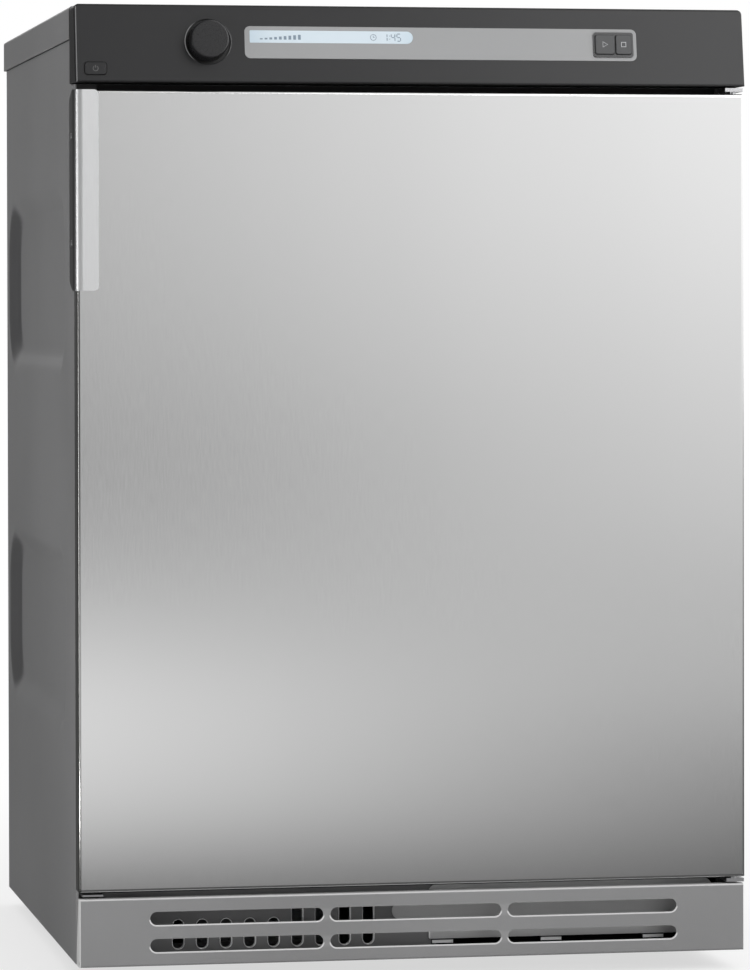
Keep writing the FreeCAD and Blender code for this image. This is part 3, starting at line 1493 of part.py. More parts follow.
def all_pieces():
    right_panel = side_panel()
    (start, stop) = key_places()
    (left_roller, right_roller) = roller_places()
    front_foot, rear_foot = foot_depths
    return {
        "side_panel_right": right_panel,
        "side_panel_left": mirrored(right_panel),
        "rear_panel": rear_panel(),
        "base_tray": base_tray(),
        "worktop": worktop(),
        "top_crossbars": top_crossbars(),
        "front_frame": front_frame(),
        "front_bulkhead": front_bulkhead(),
        "drum_felt": drum_felt(),
        "door_seal": door_seal(),
        "fascia": fascia(),
        "display_strip": display_strip(),
        "display_window": display_window(),
        "key_bezel": key_bezel(),
        "start_key": key(*start),
        "stop_key": key(*stop),
        "power_key": power_key(),
        "knob": knob(),
        "control_board": control_board(),
        "plinth_panel": plinth_panel(),
        "vent_panel": vent_panel(),
        "exchanger_hatch": exchanger_hatch(),
        "exchanger_housing": exchanger_housing(),
        "heat_exchanger": heat_exchanger(),
        "drum_shell": drum_shell(),
        "drum_back": drum_back(),
        "drum_lifters": drum_lifters(),
        "drum_shaft": drum_shaft(),
        "bearing_bracket": bearing_bracket(),
        "rear_duct": rear_duct(),
        "fan_housing": fan_housing(),
        "motor": motor(),
        "motor_cradle": motor_cradle(),
        "motor_shaft": motor_shaft(),
        "process_fan": process_fan(),
        "cooling_fan": cooling_fan(),
        "drive_belt": drive_belt(),
        "idler_pulley": idler_pulley(),
        "tensioner_arm": tensioner_arm(),
        "support_roller_left": support_roller(*left_roller),
        "support_roller_right": support_roller(*right_roller),
        "drain_pump": drain_pump(),
        "drain_spigot": drain_spigot(),
        "terminal_box": terminal_box(),
        "door_skin": door_skin(),
        "door_liner": door_liner(),
        "door_dish": door_dish(),
        "door_handle": door_handle(),
        "handle_screws": handle_screws(),
        "latch_tongue": latch_tongue(),
        "door_catch": door_catch(),
        "hinge_cups": hinge_cups(),
        "hinge_arms": hinge_arms(),
        "lint_filter": lint_filter(),
        "foot_front_left": foot(-foot_x, front_foot),
        "foot_front_right": foot(foot_x, front_foot),
        "foot_rear_left": foot(-foot_x, rear_foot),
        "foot_rear_right": foot(foot_x, rear_foot),
    }


def main():
    os.makedirs("parts", exist_ok=True)
    for name, shape in all_pieces().items():
        shape.exportStep("parts/" + name + ".step")
        box = shape.BoundBox
        print("%-22s solids %2d valid %s x %.1f..%.1f y %.1f..%.1f z %.1f..%.1f" % (
            name, len(shape.Solids), shape.isValid(), box.XMin, box.XMax, box.YMin, box.YMax,
            box.ZMin, box.ZMax))


main()
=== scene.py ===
import math

import bmesh
import bpy
from mathutils import Matrix, Vector


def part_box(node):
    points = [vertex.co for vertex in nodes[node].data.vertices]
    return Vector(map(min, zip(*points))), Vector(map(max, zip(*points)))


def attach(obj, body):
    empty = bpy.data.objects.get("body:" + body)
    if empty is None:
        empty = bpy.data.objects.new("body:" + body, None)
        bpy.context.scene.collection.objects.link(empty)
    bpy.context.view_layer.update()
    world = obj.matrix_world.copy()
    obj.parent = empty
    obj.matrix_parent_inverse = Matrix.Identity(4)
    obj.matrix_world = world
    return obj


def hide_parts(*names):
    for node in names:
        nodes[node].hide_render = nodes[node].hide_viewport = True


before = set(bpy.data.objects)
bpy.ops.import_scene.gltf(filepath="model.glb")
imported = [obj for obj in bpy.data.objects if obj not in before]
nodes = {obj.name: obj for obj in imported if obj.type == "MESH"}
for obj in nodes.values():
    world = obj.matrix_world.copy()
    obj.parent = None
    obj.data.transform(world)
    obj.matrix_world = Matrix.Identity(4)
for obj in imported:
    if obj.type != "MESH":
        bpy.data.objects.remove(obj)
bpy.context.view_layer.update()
scene = bpy.context.scene
mm = 0.001


# ---- Camera ----
# A long lens a little left of the machine's middle and level with its upper half, which is
# where the vanishing lines of the worktop, the plinth and the left side put it.
eye = Vector((-0.77045, -4.28079, 0.58282))
yaw, pitch, roll = 0.1824, -0.0100, -0.0023
ahead = Vector((math.sin(yaw) * math.cos(pitch), math.cos(yaw) * math.cos(pitch), math.sin(pitch)))
level_right = Vector((math.cos(yaw), -math.sin(yaw), 0))
level_up = level_right.cross(ahead)
right = level_right * math.cos(roll) + level_up * math.sin(roll)
up = level_up * math.cos(roll) - level_right * math.sin(roll)


def added(name, data):
    """A new object in the scene."""
    made = bpy.data.objects.new(name, data)
    scene.collection.objects.link(made)
    return made


camera = added("camera", bpy.data.cameras.new("camera"))
camera.matrix_world = Matrix.Translation(eye) @ Matrix((right, up, -ahead)).transposed().to_4x4()
camera.data.sensor_width = 36.0
camera.data.lens = 172.5
camera.data.shift_y = -0.13
camera.data.clip_start = 0.1
camera.data.clip_end = 60.0
scene.camera = camera
scene.view_settings.view_transform = "Standard"


# ---- Studio ----
# A white sweep, brighter on the right and dark on the left. For reflections the floor glows with a
# painted shade close to the machine and a painted pool of light further out; the brushed door
# mirrors both as bands.
def feed(tree, socket, value):
    """Link a value to a socket, or write it into the socket."""
    if isinstance(value, Value):
        tree.links.new(value.socket, socket)
    elif socket.type == "RGBA":
        socket.default_value = (*value, 1.0)
    else:
        socket.default_value = value


def operator(operation, swapped=False):
    """A Python operator that adds a Math node with the two values, or with them swapped."""
    def apply(self, other):
        pair = (other, self) if swapped else (self, other)
        return self.node("ShaderNodeMath", {"operation": operation}, dict(enumerate(pair)))
    return apply


class Value:
    """An output in a node tree; arithmetic on it adds Math nodes to that tree."""

    __add__ = __radd__ = operator("ADD")
    __mul__ = __rmul__ = operator("MULTIPLY")
    __sub__, __rsub__ = operator("SUBTRACT"), operator("SUBTRACT", swapped=True)
    __truediv__, __rtruediv__ = operator("DIVIDE"), operator("DIVIDE", swapped=True)
    __gt__, __lt__ = operator("GREATER_THAN"), operator("LESS_THAN")

    def __init__(self, tree, socket=None):
        self.tree = tree
        self.socket = socket

    def node(self, kind, settings=(), inputs=(), out=0):
        """Any other node: its settings first, then the values or links of its sockets."""
        made = self.tree.nodes.new(kind)
        for name, setting in dict(settings).items():
            setattr(made, name, setting)
        for name, value in dict(inputs).items():
            for item in value if isinstance(value, list) else [value]:
                feed(self.tree, made.inputs[name], item)
        return Value(self.tree, made.outputs[out])

    def maths(self, operation, *others):
        """A Math node of any kind, with this value first."""
        return self.node("ShaderNodeMath", {"operation": operation},
                         dict(enumerate((self, *others))))

    def highest(self, other):
        return self.maths("MAXIMUM", other)

    def size(self):
        return self.maths("ABSOLUTE")

    def smooth(self, low, high):
        """0 at low, 1 at high, and a smooth step between them."""
        return self.node("ShaderNodeMapRange", {"interpolation_type": "SMOOTHSTEP"},
                         {"Value": self, "From Min": low, "From Max": high})

    def near(self, middle, reach):
        """1 at the middle, and 0 from that reach on."""
        return (self - middle).size().smooth(reach, reach * 0.5)

    def blend(self, first, second):
        """A colour that goes from the first to the second as this value goes from 0 to 1."""
        return self.node("ShaderNodeMix", {"data_type": "RGBA"},
                         {0: self, 6: first, 7: second}, out=2)

    def stretched(self, x, y, z):
        """This place with each direction scaled, for a pattern that runs along one of them."""
        return self.node("ShaderNodeMapping", inputs={"Vector": self, "Scale": (x, y, z)})

    def noise(self, scale, detail=3.0, roughness=0.5):
        return self.node("ShaderNodeTexNoise", inputs={
            "Vector": self, "Scale": scale, "Detail": detail, "Roughness": roughness})

    def axis(self, index):
        """The x, y or z of this place."""
        return self.node("ShaderNodeSeparateXYZ", inputs={0: self}, out=index)

    def vector(self, *parts):
        return self.node("ShaderNodeCombineXYZ", inputs=dict(enumerate(parts)))


class Finish:
    """A material under construction: its shader, and the place of a point on the piece."""

    def __init__(self, name, colour, roughness, metallic=0.0, **plain):
        self.material = bpy.data.materials.new(name)
        self.material.use_nodes = True
        self.tree = self.material.node_tree
        self.shader = self.tree.nodes["Principled BSDF"]
        self.place = Value(self.tree).node("ShaderNodeTexCoord", out=3)
        self.set("Base Color", colour)
        self.set("Roughness", roughness)
        self.set("Metallic", metallic)
        for socket, value in plain.items():
            self.set(socket.replace("_", " "), value)

    def set(self, name, value):
        if name == "Base Color":
            self.base = value
        feed(self.tree, self.shader.inputs[name], value)

    def paint(self, share, colour):
        """Lay another colour over the base where the share is 1."""
        self.set("Base Color", share.blend(self.base, colour))

    def fade(self, axis, bare, full, colour):
        """The same along an axis: none of the colour at bare, all of it at full."""
        self.paint(self.place.axis(axis).smooth(bare, full), colour)

    def bump(self, height, distance, strength=1.0):
        """Relief: a height of 0 to 1 that stands for a distance in metres."""
        self.set("Normal", height.node("ShaderNodeBump", inputs={
            "Strength": strength, "Distance": distance, "Height": height}))


def grey(level, blue=0.0):
    """A grey, with a little more blue in it than red and green."""
    return (level, level, level + blue)


studio_white = grey(1.0)
floor_reach = 24.0
camera_ray, glossy_ray, transmitted_ray = 0, 3, 6  # outputs of a Light Path node
door_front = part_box("door_skin")[0].y

world = bpy.data.worlds.new("studio")
scene.world = world
world.use_nodes = True
sky = Value(world.node_tree)
rays = "ShaderNodeLightPath"
direction = sky.node("ShaderNodeTexCoord", out=0)
seen = sky.node(rays, out=camera_ray) + sky.node(rays, out=transmitted_ray)
glossy = sky.node(rays, out=glossy_ray)
across = direction.axis(0)
behind = direction.axis(1)
height = direction.axis(2)
soft_sky = across.smooth(-0.9, 0.7) * 0.63 + 0.21 + height.smooth(0.2, 1.0) * 0.30
left_back = behind.smooth(0.2, 0.9) * across.smooth(0.1, -0.1)
low_band = height.smooth(0.08, 0.22) * height.smooth(0.60, 0.40) * across.smooth(0.50, 0.10)
mirrored_sky = ((across.smooth(0.02, 0.34) * 0.90 + across.smooth(-0.6, 0.0) * 0.20 + 0.12)
                * (height.smooth(-0.03, 0.05) * 0.31 + 0.80)
                * (1 - left_back * 0.55) * (1 - low_band * 0.55))
sky_level = (seen > 0.5).blend(glossy.blend(soft_sky, mirrored_sky), studio_white)
feed(world.node_tree, world.node_tree.nodes["Background"].inputs["Color"], sky_level)

floor_mesh = bpy.data.meshes.new("floor")
corners = [(x * floor_reach, y * floor_reach, 0) for x, y in ((-1, -1), (1, -1), (1, 1), (-1, 1))]
floor_mesh.from_pydata(corners, [], [(0, 1, 2, 3)])
floor = added("floor", floor_mesh)
floor_finish = Finish("floor_white", grey(0.92), 0.9)
ground = floor_finish.place
x = ground.axis(0)
away = door_front - ground.axis(1)
# painted light in the floor's glow, seen only in reflections: a painted pool of light and painted
# shade near the machine
painted_pool = x.smooth(0.9, -0.3) * away.smooth(0.2, 1.65) * away.smooth(6.0, 2.6) * 0.53
near = away.smooth(0.2, 3.4) * 0.46 + 0.10 + painted_pool
far = (x / away.highest(0.5)).smooth(0.06, 0.32) * 0.60 + 0.24
far_share = away.smooth(4.0, 12.0)
mirrored_floor = near * (1 - far_share) + far * far_share
seen = ground.node(rays, out=camera_ray)
glossy = ground.node(rays, out=glossy_ray)
reach = ground.node("ShaderNodeVectorMath", {"operation": "LENGTH"}, {0: ground}, out=1)
glow = ground.node("ShaderNodeEmission", inputs={
    "Color": glossy.blend(studio_white, mirrored_floor)})
lit = ground.node("ShaderNodeMixShader", inputs={
    0: seen * (reach.smooth(0.5, 1.7) * 0.35 + 0.65) + glossy,
    1: Value(floor_finish.tree, floor_finish.shader.outputs[0]), 2: glow})
feed(floor_finish.tree, floor_finish.tree.nodes["Material Output"].inputs["Surface"], lit)
floor_mesh.materials.append(floor_finish.material)

for name, place, aim, wide, tall, power in (
        ("front_lamp", (1.8, -3.2, 2.4), (0.0, 0.0, 0.4), 2.0, 2.0, 60.0),
        ("left_strip", (-2.3, -1.0, 0.55), (0.0, -0.2, 0.1), 0.4, 1.1, 7.5),
        ("low_lamp", (-1.2, -0.8, 0.05), (-0.2, -0.1, 0.05), 0.25, 0.05, 1.6),
        ("back_lamp", (-1.2, 3.4, 2.6), (0.0, 0.0, 0.4), 2.2, 2.2, 26.0)):
    lamp = added(name, bpy.data.lights.new(name, "AREA"))
    lamp.data.shape = "RECTANGLE"
    lamp.data.size = wide
    lamp.data.size_y = tall
    lamp.data.energy = power
    lamp.location = place
    lamp.rotation_euler = (Vector(aim) - Vector(place)).to_track_quat("-Z", "Y").to_euler()


# ---- Base and crossbars ----
# The bottom tray and the bars under the worktop: sheet steel with a hot-dip zinc coat, whose
# crystals show as a spangle. The tray's front is painted black as painted shade, where the plinth's
# slots show it.
def dress(finish, *names):
    """Give carried-over nodes their finish."""
    for name in names:
        for slot in nodes[name].material_slots:
            slot.material = finish.material


def zinc_coat(name, dark, light):
    finish = Finish(name, light, 0.42, 0.9)
    cell = finish.place.node("ShaderNodeTexVoronoi", inputs={
        "Vector": finish.place, "Scale": 110.0}, out=1)
    shade = cell.node("ShaderNodeRGBToBW", inputs={0: cell})
    finish.set("Base Color", shade.blend(dark, light))
    finish.set("Roughness", shade * 0.16 + 0.34)
    finish.bump(finish.place.noise(500.0), 0.03 * mm)
    return finish


zinc_shades = (0.46, 0.47, 0.48), (0.63, 0.64, 0.65)
shade_black = grey(0.012)
tray_bare, tray_shaded = 120.0 * mm, 100.0 * mm  # behind the door's front

zinc_steel = zinc_coat("zinc_steel", *zinc_shades)
dress(zinc_steel, "top_crossbars")
tray_zinc = zinc_coat("tray_zinc", *zinc_shades)
# painted shade: the tray's front goes black where the plinth's slots look in
tray_zinc.fade(1, door_front + tray_bare, door_front + tray_shaded, shade_black)
dress(tray_zinc, "base_tray")


# ---- Levelling feet ----
# Four moulded soles on threaded stems, screwed into the tray's bosses from below. A pressed
# steel lock nut on each stem is run up against the tray once the machine stands level.
nut_size = 9.0 * mm
nut_height = 5.0 * mm
nut_gap = 3.2 * mm  # nut's underside above the sole
sole_top = 8.0 * mm


def shades(colour, darker, lighter):
    """A colour's darker and its lighter shade."""
    return [tuple(min(1.0, c * share) for c in colour) for share in (darker, lighter)]


def moulded(name, colour, roughness, grain=1400.0, relief=0.04 * mm, **plain):
    """Injection-moulded plastic or rubber with a fine eroded texture."""
    finish = Finish(name, colour, roughness, **plain)
    texture = finish.place.noise(grain, 2.0, 0.6)
    cloud = finish.place.noise(6.0, 3.0)
    finish.set("Base Color", cloud.blend(*shades(colour, 0.93, 1.06)))
    finish.set("Roughness", texture * 0.12 + (roughness - 0.06))
    finish.bump(texture, relief)
    return finish


def metal(name, colour, roughness, grain, relief=0.02 * mm, **plain):
    """Bare metal whose grain is stretched along one direction."""
    finish = Finish(name, colour, roughness, 1.0, **plain)
    streak = finish.place.stretched(*grain).noise(1.0, 4.0, 0.65)
    broad = finish.place.noise(4.0, 3.0)
    finish.set("Base Color", (streak * 0.6 + broad * 0.4).blend(*shades(colour, 0.90, 1.08)))
    finish.set("Roughness", streak * 0.10 + (roughness - 0.05))
    finish.bump(streak, relief)
    return finish


def node_tree(name, **sizes):
    """A tree for a Geometry Nodes modifier, and its inputs by name."""
    tree = bpy.data.node_groups.new(name, "GeometryNodeTree")
    tree.interface.new_socket("Geometry", in_out="INPUT", socket_type="NodeSocketGeometry")
    tree.interface.new_socket("Geometry", in_out="OUTPUT", socket_type="NodeSocketGeometry")
    for title, kind in {**sizes, "Finish": "Material"}.items():
        tree.interface.new_socket(title, in_out="INPUT", socket_type="NodeSocket" + kind)
    entry = tree.nodes.new("NodeGroupInput")
    return tree, {socket.name: Value(tree, socket) for socket in entry.outputs if socket.name}


def applied(piece):
    """The plain mesh of a piece with its modifiers applied; the piece itself goes."""
    evaluated = piece.evaluated_get(bpy.context.evaluated_depsgraph_get())
    mesh = bpy.data.meshes.new_from_object(evaluated)
    bpy.data.objects.remove(piece)
    return mesh


def grown(name, tree, start, **sizes):
    """The plain mesh that a node tree makes from a start mesh."""
    piece = added(name, start)
    modifier = piece.modifiers.new("grow", "NODES")
    modifier.node_group = tree
    for item in tree.interface.items_tree:
        if item.in_out == "INPUT" and item.name in sizes:
            value = sizes[item.name]
            modifier[item.identifier] = value.material if isinstance(value, Finish) else value
    mesh = applied(piece)
    mesh.name = name
    return mesh


def cylinder(sides, radius, depth):
    return radius.node("GeometryNodeMeshCylinder", inputs={
        "Vertices": sides, "Radius": radius, "Depth": depth})


def joined(*shapes):
    return shapes[0].node("GeometryNodeJoinGeometry", inputs={0: list(shapes)})


def coated(shape, finish):
    return shape.node("GeometryNodeSetMaterial", inputs={"Geometry": shape, "Material": finish})


def placed(entry, shape, turn=(0.0, 0.0, 0.0)):
    """The shape at each point that a tree starts from."""
    return shape.node("GeometryNodeInstanceOnPoints", inputs={
        "Points": entry["Geometry"], "Instance": shape, "Rotation": turn})


def end_tree(tree, shape, finish=None):
    """Realize what the tree has placed, give it a finish if it has none, and lead it out."""
    real = shape.node("GeometryNodeRealizeInstances", inputs={0: shape})
    if finish:
        real = coated(real, finish)
    feed(tree, tree.nodes.new("NodeGroupOutput").inputs[0], real)


def points(name, places, lines=()):
    """A mesh of bare points, and of lines between them, that a node tree starts from."""
    mesh = bpy.data.meshes.new(name)
    mesh.from_pydata(places, lines, [])
    return mesh


def fit(name, mesh, finish, body, slot, *replaced):
    """Make a piece of a finished mesh: its finish and the body it rides on. The record slot is not
    used.
    """
    piece = added(name, mesh)
    if finish:
        mesh.materials.clear()
        mesh.materials.append(finish.material)
    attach(piece, body)
    if replaced:
        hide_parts(*replaced)
    return piece


def planted(name, tree, places, body, slot, pairs=(), **sizes):
    """A piece that a node tree grows on bare points."""
    fit(name, grown(name, tree, points("places", places, pairs), **sizes), None, body, slot)


shaft_steel = metal("shaft_steel", grey(0.55, 0.01), 0.30, (900.0, 900.0, 900.0))
black_plastic = moulded("black_plastic", grey(0.022, 0.002), 0.45)

nut_tree, nut = node_tree("lock_nut", Size="Float", Height="Float")
barrel = cylinder(6, nut["Size"], nut["Height"])
collar = cylinder(32, nut["Size"] * 1.18, nut["Height"] * 0.2)
end_tree(nut_tree, placed(nut, joined(barrel, collar)), nut["Finish"])

for body, node in (("foot_fl", "foot_front_left"), ("foot_fr", "foot_front_right"),
                   ("foot_rl", "foot_rear_left"), ("foot_rr", "foot_rear_right")):
    dress(black_plastic, node)
    low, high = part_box(node)
    middle = (low + high) / 2
    planted(node + "_nut", nut_tree,
            [(middle.x, middle.y, sole_top + nut_gap + nut_height / 2)], body, "shaft_steel",
            Size=nut_size, Height=nut_height, Finish=shaft_steel)


# ---- Side panels ----
# Folded sheet steel, one on each side, with two long fields pressed inwards by soft rounded slopes.
# Powder coated in mid grey with a fine orange peel and a few soft rub marks; painted shade on the
# fields' rear slopes, and painted black shade under the worktop's skirt and in the gaps round the
# door.
side_step = 5.0 * mm  # mesh along the flat
sheet = 1.0 * mm
side_bend = 2.2 * mm
bend_steps = 5
front_flange = 20.0 * mm
rear_flange = 16.0 * mm
edge_flange = 16.0 * mm
field_front = 90.0 * mm
field_room = 16.0 * mm  # field's end to the cabinet's back
field_half = 84.0 * mm
field_corner = 60.0 * mm
field_depth = 10.0 * mm
field_run = 24.0 * mm  # width of the rounded slope
field_mids = (293.5 * mm, 611.0 * mm)
fascia_seat = 781.0 * mm  # above this the panel is cut back for the fascia
fascia_back = 43.4 * mm  # to this depth
over_door = 771.0 * mm  # painted shade in the gap over the door from here up
under_door = 90.0 * mm  # and in the one under it from here down
gap_fade = 3.0 * mm
slack = 0.1 * mm  # for comparing places
cabinet_grey = grey(0.215, 0.003)
gap_shade = grey(0.006)


def powder_coat(name, colour, roughness=0.42):
    finish = Finish(name, colour, roughness)
    peel = finish.place.noise(900.0, 2.0)
    cloud = finish.place.noise(3.0, 4.0)
    rub = finish.place.stretched(1.0, 6.0, 1.0).noise(14.0, 5.0, 0.6).smooth(0.62, 0.80)
    finish.set("Base Color", cloud.smooth(0.35, 0.65).blend(*shades(colour, 0.95, 1.06)))
    finish.set("Roughness", peel * 0.08 + (roughness - 0.04) - rub * 0.05)
    finish.bump(peel, 0.06 * mm)
    return finish


def in_gap_shade(place):
    """1 at the heights of the gaps above and below the door, where their shade is painted."""
    rise = place.axis(2)
    return (rise.smooth(over_door - gap_fade, over_door)
            + rise.smooth(under_door + gap_fade, under_door))


def pressed(y, z, low, high):
    """How far the sheet is pressed in at a place on the side."""
    y0, y1 = door_front + field_front, high.y - field_room
    deepest = 0.0
    for middle in field_mids:
        over_y = abs(y - (y0 + y1) / 2) - (y1 - y0) / 2 + field_corner
        over_z = abs(z - middle) - field_half + field_corner
        edge = (math.hypot(max(over_y, 0), max(over_z, 0)) + min(max(over_y, over_z), 0)
                - field_corner)
        share = min(max(-edge / field_run, 0.0), 1.0)
        deepest = max(deepest, field_depth * share * share * (3 - 2 * share))
    return deepest


def steps(start, stop, step):
    """Even places from start to stop, both included."""
    count = max(1, round((stop - start) / step))
    return [start + (stop - start) * index / count for index in range(count + 1)]


def side_sheet(name, node, side):
    """The folded sheet of one side: an outline in plan, pressed in row by row, then thickened."""
    low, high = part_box(node)
    outer = max(abs(low.x), abs(high.x))
    inner = outer - side_bend
    folded = side * (outer - edge_flange)
    cut = door_front + fascia_back
    bend = [(side_bend * math.sin(a), side_bend * math.cos(a))
            for a in steps(0, math.pi / 2, math.pi / 2 / bend_steps)]
    front = [(outer - front_flange, low.y)]
    front += [(inner + sine, low.y + side_bend - cosine) for sine, cosine in bend]
    flat = steps(low.y + side_bend, cut, side_step) + steps(cut, high.y - side_bend, side_step)[1:]
    back = [(inner + cosine, high.y - side_bend + sine) for sine, cosine in bend[1:]]
    profile = front + [(outer, y) for y in flat[1:]] + back + [(outer - rear_flange, high.y)]
    levels = steps(low.z, fascia_seat, side_step) + steps(fascia_seat, high.z, side_step)[1:]
    shape = bmesh.new()
    grid = [[shape.verts.new((side * (px - pressed(py, z, low, high) * (px > outer - slack)),
                              py, z)) for px, py in profile] for z in levels]
    for row in range(len(levels) - 1):
        for column in range(len(profile) - 1):
            if levels[row] > fascia_seat - slack and profile[column + 1][1] < cut + slack:
                continue
            shape.faces.new((grid[row][column], grid[row][column + 1],
                             grid[row + 1][column + 1], grid[row + 1][column]))
    for row in (0, -1):
        fold = [None] * len(profile)
        for column, (px, py) in enumerate(profile):
            if px > outer - slack and (row == 0 or py > cut - slack):
                fold[column] = shape.verts.new((folded, py, grid[row][column].co.z))
        for column in range(len(profile) - 1):
            if fold[column] and fold[column + 1]:
                shape.faces.new((grid[row][column], grid[row][column + 1],
                                 fold[column + 1], fold[column]))
    bmesh.ops.delete(shape, geom=[v for v in shape.verts if not v.link_faces], context="VERTS")
    bmesh.ops.recalc_face_normals(shape, faces=shape.faces)
    middle = max(shape.faces, key=lambda face: abs(face.calc_center_median().x))
    if middle.normal.x * side < 0:
        bmesh.ops.reverse_faces(shape, faces=shape.faces)
    return thickened(name, plain(name, shape), sheet)


def plain(name, shape):
    """The mesh of a bmesh."""
    mesh = bpy.data.meshes.new(name)
    shape.to_mesh(mesh)
    shape.free()
    return mesh


def smoothed(mesh, angle=35.0):
    """Smooth shading, except across edges sharper than an angle in degrees."""
    mesh.shade_smooth()
    mesh.set_sharp_from_angle(angle=math.radians(angle))
    return mesh


def thickened(name, mesh, thickness):
    """A sheet given its thickness inwards, smooth except across sharp edges."""
    piece = added(name, mesh)
    solid = piece.modifiers.new("thickness", "SOLIDIFY")
    solid.thickness = thickness
    solid.offset = -1.0
    return smoothed(applied(piece))


side_low, side_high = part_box("side_panel_left")
side_paint = powder_coat("grey_paint", cabinet_grey)
spot = side_paint.place
sunk = (-side_low.x) - spot.axis(0).size()
# painted shade on the fields' rear slopes
facing = spot.node("ShaderNodeNewGeometry", out=1).axis(1)
rear_slope_shade = facing.smooth(-0.05, -0.25) * spot.axis(1).smooth(0.0, 0.05)
side_paint.paint(rear_slope_shade * sunk.smooth(0.1 * mm, 0.8 * mm), grey(0.085, 0.002))
# painted shade: a black line just under the worktop's skirt
skirt_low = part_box("worktop")[0].z
side_paint.fade(2, skirt_low - 1.1 * mm, skirt_low - 0.6 * mm, grey(0.010))
# painted shade on the front flanges in the gaps round the door
on_flange = (sunk.smooth(side_bend, side_bend + 0.5 * mm)
             * spot.axis(1).smooth(side_low.y + 1.5 * mm, side_low.y + 1.2 * mm))
side_paint.paint(on_flange * in_gap_shade(spot), gap_shade)
for name, node, side in (("side_left", "side_panel_left", -1),
                         ("side_right", "side_panel_right", 1)):
    fit(name, side_sheet(name, node, side), side_paint, "cabinet", "grey_paint", node)


# ---- Rear panel ----
# Zinc-coated sheet inside the rear flanges, domed over the drum's bearing. A hood is pressed
# out over each of its cooling slots, and cross-recessed screws hold it to the cabinet.
hood_length = 74.0 * mm
hood_proud = 3.6 * mm
hood_drop = 7.0 * mm
hood_pitch = 15.0 * mm
hood_rows = 7
hood_first = 71.0 * mm  # upper edge of the lowest hood
hood_columns = (-150.0 * mm, 0.0, 150.0 * mm)
hood_sheet = 0.6 * mm
rear_face = side_high.y - sheet
screw_radius = 4.0 * mm
screw_height = 1.6 * mm

dress(zinc_steel, "rear_panel")

hood_tree, hood = node_tree("louvre_hoods", Length="Float", Proud="Float", Drop="Float")
plate = hood["Length"].node("GeometryNodeMeshGrid", inputs={
    "Size X": 1.0, "Size Y": 1.0, "Vertices X": 17, "Vertices Y": 7})
spot = plate.node("GeometryNodeInputPosition")
along = spot.axis(0)
down = spot.axis(1) + 0.5
swell = along.size().smooth(0.5, 0.36) * (down * (math.pi / 2)).maths("SINE")
bowed = spot.vector(along * hood["Length"], swell * hood["Proud"], down * hood["Drop"] * -1.0)
plate = plate.node("GeometryNodeSetPosition", inputs={"Geometry": plate, "Position": bowed})
end_tree(hood_tree, placed(hood, plate), hood["Finish"])
hood_places = [(x, rear_face, hood_first + row * hood_pitch)
               for x in hood_columns for row in range(hood_rows)]
hood_mesh = grown("hoods", hood_tree, points("hood_places", hood_places), Length=hood_length,
                  Proud=hood_proud, Drop=hood_drop, Finish=zinc_steel)
fit("louvre_hoods", thickened("louvre_hoods", hood_mesh, hood_sheet), zinc_steel,
    "cabinet", "zinc_steel")

screw_tree, screw = node_tree("screws", Radius="Float", Height="Float", Turn="Vector",
                              Recess="Material")
radius = screw["Radius"]
head = radius.node("GeometryNodeMeshCone", inputs={
    "Vertices": 24, "Side Segments": 2, "Radius Top": radius * 0.74, "Radius Bottom": radius,
    "Depth": screw["Height"]})
head = coated(joined(head, cylinder(24, radius * 1.3, screw["Height"] * 0.3)), screw["Finish"])
cross = []
for wide, tall in ((1.05, 0.22), (0.22, 1.05)):
    size = radius.vector(radius * wide, radius * tall, screw["Height"] * 0.08)
    cut = size.node("GeometryNodeMeshCube", inputs={"Size": size})
    cross.append(cut.node("GeometryNodeTransform", inputs={
        "Geometry": cut, "Translation": size.vector(0.0, 0.0, screw["Height"])}))
recess = coated(joined(*cross), screw["Recess"])
end_tree(screw_tree, placed(screw, joined(head, recess), screw["Turn"]))

faces_back = (-math.pi / 2, 0.0, 0.0)
faces_front = (math.pi / 2, 0.0, 0.0)
# painted shade: each screw's cross recess is a thin black slab on its head
recess_shade = moulded("recess_shade", grey(0.010), 0.60)


def screws(name, places, turn, body, radius=screw_radius, height=screw_height):
    planted(name, screw_tree, places, body, "shaft_steel", Radius=radius, Height=height,
            Turn=turn, Finish=shaft_steel, Recess=recess_shade)


def rows(xs, y, zs):
    return [(x * mm, y, z * mm) for x in xs for z in zs]


screws("rear_screws", rows((-287.0, 287.0), side_high.y,
                           (52.0, 205.0, 358.0, 511.0, 664.0, 805.0)), faces_back, "cabinet")


# ---- Front frame ----
# Inner front sheet with the round loading opening, painted with the cabinet and screwed to the side
# panels' front flanges. Above and below the door its paint is matt, and black as painted shade in
# the gaps.
frame_paint = powder_coat("frame_paint", cabinet_grey)
# painted shade: the frame goes black in the gaps above and below the door
gap_shade_mask = in_gap_shade(frame_paint.place)
frame_paint.paint(gap_shade_mask, gap_shade)
frame_paint.set("Roughness", gap_shade_mask * 0.45 + 0.42)
dress(frame_paint, "front_frame")
screws("frame_screws", rows((-286.0, 286.0), side_low.y, (140.0, 330.0, 560.0, 730.0)),
       faces_front, "cabinet", 3.4 * mm, 1.2 * mm)


# ---- Worktop ----
# Deep-drawn steel top with a folded skirt, powder coated like the sides. Its flat shows the
# faint marks that things put down on it leave; its front edge, over the fascia, is dark.
top_paint = powder_coat("worktop_paint", cabinet_grey)
scuffs = top_paint.place.stretched(1.0, 1.0, 0.2).noise(22.0, 6.0, 0.7).smooth(0.60, 0.78)
fine = top_paint.place.noise(900.0, 2.0)
top_paint.set("Roughness", fine * 0.08 + 0.36 + scuffs * 0.10)
top_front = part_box("worktop")[0].y
top_paint.fade(1, top_front + 3.0 * mm, top_front + 2.0 * mm, grey(0.03))
dress(top_paint, "worktop")


